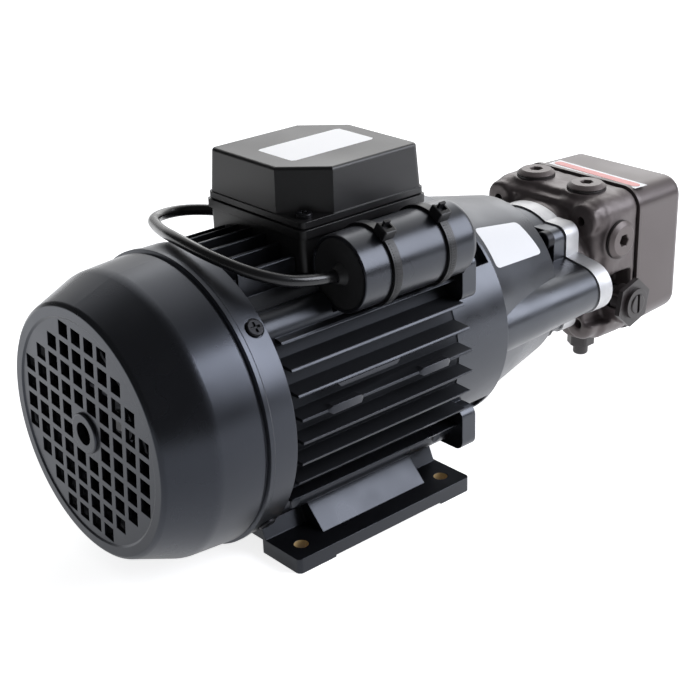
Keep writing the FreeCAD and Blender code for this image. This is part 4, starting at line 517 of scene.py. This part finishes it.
# %% [markdown]
# A stack of modifiers does what the sand does. A remesh in small voxels joins the solid, fillings
# and lumps, then the pocket goes out, and a second remesh gives it the same even mesh. Smoothing
# rounds each edge and fills each inner corner, and a soft noise moves the skin by a few tenths of a
# millimetre. The drilled holes are cut last and stay crisp. The result is kept as a plain mesh.

# %% Sand-cast skin of the pump
VOXEL = 0.8 * MM


def voxels(obj, name):
    """Rebuilds a mesh in small voxels, which joins all its parts into one skin."""
    step = obj.modifiers.new(name, "REMESH")
    step.mode = "VOXEL"
    step.voxel_size = VOXEL


def cut_away(obj, name, tool):
    """Takes the shape of one object out of another."""
    step = obj.modifiers.new(name, "BOOLEAN")
    step.operation = "DIFFERENCE"
    step.object = tool
    step.solver = "MANIFOLD"


def plain_mesh(obj):
    """Replaces an object's modifiers by the mesh that they make."""
    mesh = bpy.data.meshes.new_from_object(obj.evaluated_get(bpy.context.evaluated_depsgraph_get()))
    mesh.name = obj.name
    obj.modifiers.clear()
    obj.data = mesh


voxels(casting, "joined")
cut_away(casting, "pocket", pocket_set)
voxels(casting, "joined_again")
soft = casting.modifiers.new("rounded", "SMOOTH")
soft.factor = 0.5
soft.iterations = 12
lumps = bpy.data.textures.new("casting_lumps", "CLOUDS")
lumps.noise_scale = 11 * MM
uneven = casting.modifiers.new("uneven", "DISPLACE")
uneven.texture = lumps
uneven.texture_coords = "LOCAL"
uneven.strength = 0.9 * MM
uneven.mid_level = 0.5
cut_away(casting, "holes", drill_set)
plain_mesh(casting)
casting.data.shade_smooth()
casting.data.set_sharp_from_angle(angle=math.radians(50))
for tool in (pocket_set, drill_set):
    bpy.data.objects.remove(tool)
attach(casting, "frame")
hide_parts("pump_body")
print("pump casting", len(casting.data.polygons), "faces")

# %% [markdown]
# The port plugs are turned steel plugs with a low cone for a head and a hexagon socket. One profile
# of radius and height is spun round the port's line. Where the profile is inside the socket, its
# radius follows a hexagon, so that the same loop makes both.

# %% Port plugs
# Radius, height over the seat, and 1 inside the hexagon socket.
PLUG_PROFILE = [(6.4, -10.5, 0), (6.4, 0.0, 0), (10.2, 0.0, 0), (10.7, 0.35, 0), (10.6, 0.8, 0),
                (8.7, 2.35, 0), (8.2, 2.6, 0), (3.5, 2.6, 1), (3.1, 2.25, 1), (3.1, -2.6, 1)]
# The ports' line along X, the pump's half width, and a plug's seat on top of its washer.
PORT_X = PUMP_FRONT + 18
PUMP_HALF = 41.5
PLUG_SEAT = PUMP_HALF + 1.72


def spun_plug(shape, base, way, steps=60):
    """Spins the plug's profile round a line; the last number of a row makes it a hexagon."""
    turn = Vector((0, 0, 1)).rotation_difference(Vector(way))
    rings = []
    for radius, height, hexagon in PLUG_PROFILE:
        ring = []
        for k in range(steps):
            a = 2 * math.pi * k / steps
            flat = a % (math.pi / 3) - math.pi / 6
            reach = radius / math.cos(flat) if hexagon else radius
            spot = Vector((reach * math.cos(a), reach * math.sin(a), height))
            ring.append(shape.verts.new((Vector(base) + turn @ spot) * MM))
        rings.append(ring)
    for low, high in zip(rings, rings[1:]):
        for k in range(steps):
            n = (k + 1) % steps
            shape.faces.new((low[k], low[n], high[n], high[k]))
    shape.faces.new(rings[0][::-1])
    shape.faces.new(rings[-1])


plugs = bmesh.new()
for port_y in (-PORT, PORT):
    spun_plug(plugs, (PORT_X, port_y, SHAFT_Z + PLUG_SEAT), (0, 0, 1))
spun_plug(plugs, (PORT_X, -PLUG_SEAT, SHAFT_Z + PORT), (0, -1, 0))
bmesh.ops.recalc_face_normals(plugs, faces=plugs.faces)
plug_set = solid_piece(plugs, "port_plug_set", phosphated, 25)
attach(plug_set, "frame")
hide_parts("port_plugs")
print("plugs", len(plug_set.data.polygons), "faces")

# %% [markdown]
# The four long screws of the pump cover have low heads that hardly stand proud of its end, so no
# head shows past the corner in the photograph. Everything of the heads beyond the end face is
# pressed to under half its height, and the shanks stay.

# %% Low heads of the cover screws
HOOD_END = 255.0
HEAD_SHARE = 0.4
heads = copied("cover_screws")
for vert in heads.verts:
    if vert.co.x > HOOD_END * MM:
        vert.co.x = HOOD_END * MM + (vert.co.x - HOOD_END * MM) * HEAD_SHARE
head_set = solid_piece(heads, "low_cover_screws", black_oxide)
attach(head_set, "frame")
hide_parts("cover_screws")
print("low heads", len(head_set.data.polygons), "faces")

# %% [markdown]
# The motor housing keeps its CAD shape but for two things. The first is its fins: a casting leaves
# its mould only if the fins get thinner towards their tips, where the solid has plain slabs. All
# corners of the tips lie on one circle about the shaft, half a fin's thickness from its middle, so
# they are easy to find in a copy of the mesh, and each moves towards the middle of its fin.

# %% Thin tips of the housing fins
# The circle through the tips, half a fin's thickness, and what is left of it at the tips.
FIN_RADIUS = 69.5
FIN_HALF = 1.1
TIP_HALF = 0.6
# How near the circle and a fin's side a point has to be to count as a corner of a tip.
NEAR_CIRCLE = 0.1
NEAR_SIDE = 0.03
# Middles of the side fins in Z and of the top fins in Y, and how far out the side fins begin.
SIDE_FINS = [SHAFT_Z + 11 * (3.59 - k) for k in range(8)]
TOP_FINS = [10.3 * (k - 2.75) for k in range(7)]
BESIDE = 45
shell = copied("motor_housing")
thinned = 0
for vert in shell.verts:
    y, z = vert.co.y / MM, vert.co.z / MM
    if abs(math.hypot(y, z - SHAFT_Z) - FIN_RADIUS) > NEAR_CIRCLE:
        continue
    level, middles, axis = (z, SIDE_FINS, 2) if abs(y) > BESIDE else (y, TOP_FINS, 1)
    if axis == 1 and z < SHAFT_Z:
        continue
    for middle in middles:
        off = level - middle
        if abs(abs(off) - FIN_HALF) < NEAR_SIDE:
            vert.co[axis] = (middle + math.copysign(TIP_HALF, off)) * MM
            thinned += 1
print("fin tip points moved", thinned)

# %% [markdown]
# The second thing is the raised marks on three side fins. They are long lozenges on the real
# casting, where the solid has blocks. Each slides along its fin to the place that the photograph
# shows, and its outer corners move inwards along the fin and towards its middle line.

# %% Marks on the housing fins
# For each mark: where the solid has it, where it goes, its lowest and highest level, and how far its
# corners move inwards, up and down.
MARKS = [((-23, -6), (-36.4, -16.0), (74.4, 80.6), (2.0, 1.15, 1.15)),
         ((24, 41), (18.6, 38.6), (74.4, 80.6), (2.0, 1.15, 1.15)),
         ((-24, 8), (-29.4, 9.0), (84.2, 88.0), (2.4, 1.3, 0.0))]
# The marks lie beyond this Y, and a point this near to a mark's end or level belongs to it.
MARKS_FROM = -63
NEAR = 0.05
moved = 0
for (start, end), (new_start, new_end), (low, high), (inward, lift, drop) in MARKS:
    for vert in shell.verts:
        x, y, z = (c / MM for c in vert.co)
        at_start, at_end = abs(x - start) < NEAR, abs(x - end) < NEAR
        at_low, at_high = abs(z - low) < NEAR, abs(z - high) < NEAR
        if y > MARKS_FROM or not low - NEAR < z < high + NEAR or not (at_start or at_end):
            continue
        vert.co.x = (new_start if at_start else new_end) * MM
        if at_low or at_high:
            vert.co.x += (inward if at_start else -inward) * MM
            vert.co.z += (lift if at_low else -drop) * MM
        moved += 1
housing = solid_piece(shell, "housing_casting", housing_paint)
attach(housing, "frame")
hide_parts("motor_housing")
print("mark points moved", moved)

# %% [markdown]
# Three stickers belong to the set: a white one on the lid, a white one wrapped round the nose of the
# bell housing, and a red strip with a white edge on the pump cover. What is printed on the real
# ones is left off, so they stay bare. A sticker is a thin film that follows the surface under
# it, so each is built as a small grid of points laid on that surface and given a thickness. The
# lid's label is flat, with four round corners.

# %% Lid label
LID_X = (-4.9, 45.2)
LID_Y = (12.9, -13.4)
LID_TOP = 172.02


def film(name, rows, thick=0.00012):
    """A thin closed sheet from rows of points, thickened away from the surface below."""
    wide = len(rows[0])
    points = [tuple(v * MM for v in p) for row in rows for p in row]
    faces = []
    for r in range(len(rows) - 1):
        for c in range(wide - 1):
            a = r * wide + c
            faces.append((a, a + 1, a + wide + 1, a + wide))
    mesh = bpy.data.meshes.new(name)
    mesh.from_pydata(points, [], faces)
    obj = new_object(name, mesh)
    solid = obj.modifiers.new("thickness", "SOLIDIFY")
    solid.thickness = thick
    solid.offset = 1.0
    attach(obj, "frame")
    return obj


def sticker_finish(name, colour, rough):
    """Printed film with a faint gloss."""
    mat, _, shader = blank(name)
    shader.inputs["Base Color"].default_value = linear(colour)
    shader.inputs["Roughness"].default_value = rough
    return mat


def corner_inset(edge, corner):
    """How far a round corner draws a row in, at a distance from the label's edge."""
    if edge >= corner:
        return 0.0
    return corner - math.sqrt(corner ** 2 - (corner - edge) ** 2)


def lid_rows(steps=24, corner=2.0):
    """Rows across the lid's label, shorter in its round corners."""
    rows = []
    for r in range(steps + 1):
        y = LID_Y[0] + (LID_Y[1] - LID_Y[0]) * r / steps
        inset = corner_inset(min(abs(y - LID_Y[0]), abs(y - LID_Y[1])), corner)
        rows.append([(LID_X[0] + inset, y, LID_TOP), (LID_X[1] - inset, y, LID_TOP)])
    return rows


white_film = sticker_finish("white_vinyl_sticker", "#e9e9ea", 0.32)
lid_label = film("lid_label", lid_rows())
lid_label.data.materials.append(white_film)
print("lid label", len(lid_label.data.vertices), "points")

# %% [markdown]
# The second label is wrapped round the nose of the bell housing, which is a cone. So its points are
# set by an angle about the shaft and the cone's radius at each place, and lie 0.06 mm above it. Its
# ends are not quite square to the shaft, as in the photograph.

# %% Nose label
# The label's first angle about the shaft and the angle it spans, in degrees.
NOSE_FROM = 122.4
NOSE_SPAN = 24.5
# Its two ends along X at the upper edge, and how far each has moved at the lower edge.
NOSE_ENDS = (95.2, 131.0)
NOSE_SKEW = (-0.8, 4.6)
NOSE_MIDDLE = 113


def nose_radius(x):
    """Radius of the bell housing's cone: 57 mm at its base and 46 mm at its nose."""
    return 57.0 - 11.0 * (x - 90.0) / 52.0


def nose_rows(steps=48, corner=2.6):
    """Rows across the label, from its upper edge to its lower one, shorter in its round corners."""
    rows = []
    for r in range(steps + 1):
        s = r / steps
        edge = min(s, 1 - s) * math.radians(NOSE_SPAN) * nose_radius(NOSE_MIDDLE)
        inset = corner_inset(edge, corner)
        x0 = NOSE_ENDS[0] + NOSE_SKEW[0] * s + inset
        x1 = NOSE_ENDS[1] + NOSE_SKEW[1] * s - inset
        angle = math.radians(NOSE_FROM + NOSE_SPAN * s)
        row = []
        for c in range(9):
            x = x0 + (x1 - x0) * c / 8
            reach = nose_radius(x) + 0.06
            row.append((x, reach * math.cos(angle), SHAFT_Z + reach * math.sin(angle)))
        rows.append(row)
    return rows


nose_label = film("nose_label", nose_rows())
nose_label.data.materials.append(white_film)
print("nose label", len(nose_label.data.vertices), "points")

# %% [markdown]
# The strip on the pump cover is a red band inside a white border. It is one white film with a
# narrower red film on top of it, both laid on the cover's flat upper side, where the real one
# sits slightly out of square.

# %% Pump cover strip
# The height of the cover's top at one place along X, and how much it falls for each millimetre.
COVER_TOP = SHAFT_Z + PUMP_HALF
TOP_AT = 212.9
FALL = 0.0395
# How much the strip leans along X for each millimetre of Y, counted from one Y.
LEAN = 0.055
LEAN_FROM = -36.5


def strip_rows(x0, x1, y0, y1, height, steps=12):
    """Rows from one end of a strip to the other, laid on the sloping top."""
    rows = []
    for r in range(steps + 1):
        y = y1 + (y0 - y1) * r / steps
        rows.append([(x + LEAN * (y - LEAN_FROM), y, height - FALL * (x - TOP_AT)) for x in (x0, x1)])
    return rows


def band_rows(middle=220.2, half=2.9, y0=-35.2, y1=27.6, steps=8):
    """The red band inside the strip: straight sides and half-round ends."""
    angles = [math.radians(90 * k / steps) for k in range(steps + 1)]
    ends = [(half * (1 - math.cos(a)), half * math.sin(a)) for a in angles]
    stations = [(y1 - back, wide) for back, wide in ends]
    stations += [(y0 + back, wide) for back, wide in ends[::-1]]
    rows = []
    for y, wide in stations:
        wide = max(wide, 0.05)
        rows += strip_rows(middle - wide, middle + wide, y, y, COVER_TOP + 0.22, steps=1)[:1]
    return rows


strip_white = film("cover_strip_edge", strip_rows(215.0, 225.6, -36.8, 29.2, COVER_TOP + 0.06))
strip_red = film("cover_strip_band", band_rows(), 0.00006)
strip_white.data.materials.append(white_film)
strip_red.data.materials.append(sticker_finish("red_vinyl_sticker", "#d6726d", 0.32))
print("strip", len(strip_white.data.vertices) + len(strip_red.data.vertices), "points")

# %% [markdown]
# The two cable ties round the capacitor have fine teeth across the outside of their straps. The
# teeth repeat by a plain rule, one every 1.25 mm along the strap, so Geometry Nodes makes them: a
# row of points is bent into an arc of the strap's radius and each point carries one small block.
# The result is stored as a plain mesh, because a library part should open without its node tree.


# %% Teeth of the cable ties
def teeth_tree(material):
    """Blocks set round an arc in the YZ plane about the capacitor's centre line."""
    tree = bpy.data.node_groups.new("strap_teeth", "GeometryNodeTree")
    for name, kind in (("Strap place", "NodeSocketVector"), ("Strap radius", "NodeSocketFloat"),
                       ("First angle", "NodeSocketFloat"), ("Pitch", "NodeSocketFloat"),
                       ("Teeth", "NodeSocketInt"), ("Tooth size", "NodeSocketVector")):
        tree.interface.new_socket(name, in_out="INPUT", socket_type=kind)
    tree.interface.new_socket("Geometry", in_out="OUTPUT", socket_type="NodeSocketGeometry")
    given = add(tree, "NodeGroupInput").outputs
    step = add(tree, "ShaderNodeMath", {0: given["Pitch"], 1: given["Strap radius"]},
               operation="DIVIDE").outputs[0]
    number = add(tree, "GeometryNodeInputIndex").outputs[0]
    angle = add(tree, "ShaderNodeMath", {0: number, 1: step, 2: given["First angle"]},
                operation="MULTIPLY_ADD").outputs[0]
    turned = add(tree, "ShaderNodeCombineXYZ", {"X": angle}).outputs[0]
    spoke = add(tree, "ShaderNodeCombineXYZ", {"Y": given["Strap radius"]}).outputs[0]
    rim = add(tree, "ShaderNodeVectorRotate", {"Vector": spoke, "Rotation": turned},
              rotation_type="EULER_XYZ").outputs[0]
    spot = add(tree, "ShaderNodeVectorMath", {0: rim, 1: given["Strap place"]},
               operation="ADD").outputs[0]
    points = add(tree, "GeometryNodePoints", {"Count": given["Teeth"], "Position": spot}).outputs[0]
    tooth = add(tree, "GeometryNodeMeshCube", {"Size": given["Tooth size"]}).outputs[0]
    row = add(tree, "GeometryNodeInstanceOnPoints",
              {"Points": points, "Instance": tooth, "Rotation": turned}).outputs[0]
    real = add(tree, "GeometryNodeRealizeInstances", {0: row}).outputs[0]
    dressed = add(tree, "GeometryNodeSetMaterial", {"Geometry": real, "Material": material})
    add(tree, "NodeGroupOutput", {"Geometry": dressed.outputs[0]})
    return tree


# The capacitor's centre line in Y and Z, the straps' places along it, and the teeth's circle.
CAN_LINE = (-55.5, 132)
STRAPS_X = (2.0, 35.5)
STRAP_RADIUS = 19.35
strap_tree = teeth_tree(tie_nylon)
inputs = [item for item in strap_tree.interface.items_tree if item.in_out == "INPUT"]
sockets = {item.name: item.identifier for item in inputs}
for number, strap_x in enumerate(STRAPS_X, 1):
    obj = new_object("strap_teeth_%d" % number, bpy.data.meshes.new("teeth"))
    teeth = obj.modifiers.new("teeth", "NODES")
    teeth.node_group = strap_tree
    values = {"Strap place": [v * MM for v in (strap_x, *CAN_LINE)], "Strap radius": STRAP_RADIUS * MM,
              "First angle": math.radians(138), "Pitch": 1.25 * MM, "Teeth": 33,
              "Tooth size": [v * MM for v in (2.6, 0.4, 0.6)]}
    for name, value in values.items():
        teeth[sockets[name]] = value
    plain_mesh(obj)
    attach(obj, "frame")
    print(obj.name, "faces", len(obj.data.polygons))

# %% [markdown]
# The floor and the backdrop are only a stage. The photograph shows the set on pure white, yet its
# black parts are really black on the side that faces the camera. So the room was bright behind the
# set and dark around the camera. The floor is white paper to the camera and to reflections, and
# keeps the shadow under the feet. A soft fade ends its glow in front of the set, so that nothing
# lights the black sides from below.

# %% White floor
# The way to the camera along the floor.
TO_CAMERA = (-0.616, -0.788, 0.0)


def seen_rays(tree):
    """The light path, and 1 for rays that should show white: camera, mirror and glass rays."""
    path = add(tree, "ShaderNodeLightPath").outputs
    one = add(tree, "ShaderNodeMath", {0: path["Is Camera Ray"], 1: path["Is Glossy Ray"]},
              operation="MAXIMUM")
    both = add(tree, "ShaderNodeMath", {0: one.outputs[0], 1: path["Is Transmission Ray"]},
               operation="MAXIMUM")
    return path, both.outputs[0]


floor_mesh = bpy.data.meshes.new("floor")
floor_mesh.from_pydata([(-6, -6, 0), (6, -6, 0), (6, 6, 0), (-6, 6, 0)], [], [(0, 1, 2, 3)])
floor = new_object("floor", floor_mesh)
floor_mat = bpy.data.materials.new("white_paper_floor")
floor_mat.use_nodes = True
tree = floor_mat.node_tree
tree.nodes.clear()
path, seen = seen_rays(tree)
spot = add(tree, "ShaderNodeNewGeometry").outputs["Position"]
ahead = add(tree, "ShaderNodeVectorMath", {0: spot, 1: TO_CAMERA}, operation="DOT_PRODUCT")
near = add(tree, "ShaderNodeMapRange",
           {"Value": ahead.outputs["Value"], "From Min": -0.1, "From Max": 0.25, "To Min": 0.8,
            "To Max": 0.0}, interpolation_type="SMOOTHSTEP")
to_camera = add(tree, "ShaderNodeMath", {0: path["Is Camera Ray"], 1: 0.8}, operation="MULTIPLY")
strength = add(tree, "ShaderNodeMath", {0: near.outputs[0], 1: to_camera.outputs[0]},
               operation="MAXIMUM")
paper = add(tree, "ShaderNodeBsdfDiffuse", {"Color": linear("#f4f4f4")}).outputs[0]
glow = add(tree, "ShaderNodeEmission", {"Color": linear("#ffffff"), "Strength": strength.outputs[0]})
lit = add(tree, "ShaderNodeAddShader", {0: paper, 1: glow.outputs[0]})
mixed = add(tree, "ShaderNodeMixShader", {0: seen, 1: paper, 2: lit.outputs[0]})
add(tree, "ShaderNodeOutputMaterial", {"Surface": mixed.outputs[0]})
floor_mesh.materials.append(floor_mat)
print("floor", floor.name)

# %% [markdown]
# The world does the same for everything above the floor. The camera sees plain white. A reflection
# sees white behind the set, in the way in which the bright backdrop lies, and it fades to dark
# towards the camera side. All other light from the world is weak and even.

# %% World
BACKDROP = (0.742, 0.520, 0.423)
world = bpy.data.worlds.new("studio")
bpy.context.scene.world = world
world.use_nodes = True
tree = world.node_tree
tree.nodes.clear()
path, seen = seen_rays(tree)
view = add(tree, "ShaderNodeTexCoord").outputs["Generated"]
behind = add(tree, "ShaderNodeVectorMath", {0: view, 1: BACKDROP}, operation="DOT_PRODUCT")
fade = add(tree, "ShaderNodeMapRange",
           {"Value": behind.outputs["Value"], "From Min": 0.5, "From Max": 0.95, "To Min": 0.05,
            "To Max": 1.0}, interpolation_type="SMOOTHSTEP")
strength = add(tree, "ShaderNodeMath", {0: fade.outputs[0], 1: path["Is Camera Ray"]},
               operation="MAXIMUM")
even = add(tree, "ShaderNodeBackground", {"Color": linear("#f2f4f7"), "Strength": 0.32})
white = add(tree, "ShaderNodeBackground", {"Color": linear("#ffffff"), "Strength": strength.outputs[0]})
mixed = add(tree, "ShaderNodeMixShader", {0: seen, 1: even.outputs[0], 2: white.outputs[0]})
add(tree, "ShaderNodeOutputWorld", {"Surface": mixed.outputs[0]})
print("world", world.name, len(tree.nodes), "nodes")

# %% [markdown]
# One large soft lamp stands to the right, in front of the pump. It draws the long highlight down
# the fan cover and the capacitor, and lights the bell, the feet and the pump side. A second lamp
# behind the set is the bright backdrop that the lid, the fins and the tops of the plugs mirror.

# %% Lamps
LAMP_TARGET = Vector((0.05, 0, 0.08))


def lamp(name, azimuth, height, away, power, wide, tall, colour="#ffffff"):
    """Soft rectangular lamp that looks at the set from a compass angle and a height angle."""
    data = bpy.data.lights.new(name, "AREA")
    data.shape = "RECTANGLE"
    data.size = wide
    data.size_y = tall
    data.energy = power
    data.color = linear(colour)[:3]
    obj = new_object(name, data)
    azimuth, height = math.radians(azimuth), math.radians(height)
    level = math.cos(height)
    way = Vector((math.cos(azimuth) * level, math.sin(azimuth) * level, math.sin(height)))
    obj.location = LAMP_TARGET + way * away
    obj.rotation_euler = (-way).to_track_quat("-Z", "Y").to_euler()
    obj.visible_camera = False


lamp("key_softbox", azimuth=-47, height=30, away=1.15, power=11.5, wide=0.8, tall=0.75,
     colour="#f3f6ff")
lamp("back_softbox", azimuth=35, height=28, away=1.6, power=7, wide=1.3, tall=0.9)
bpy.context.scene.view_settings.view_transform = "Standard"
print("lamps", len(bpy.data.lights))
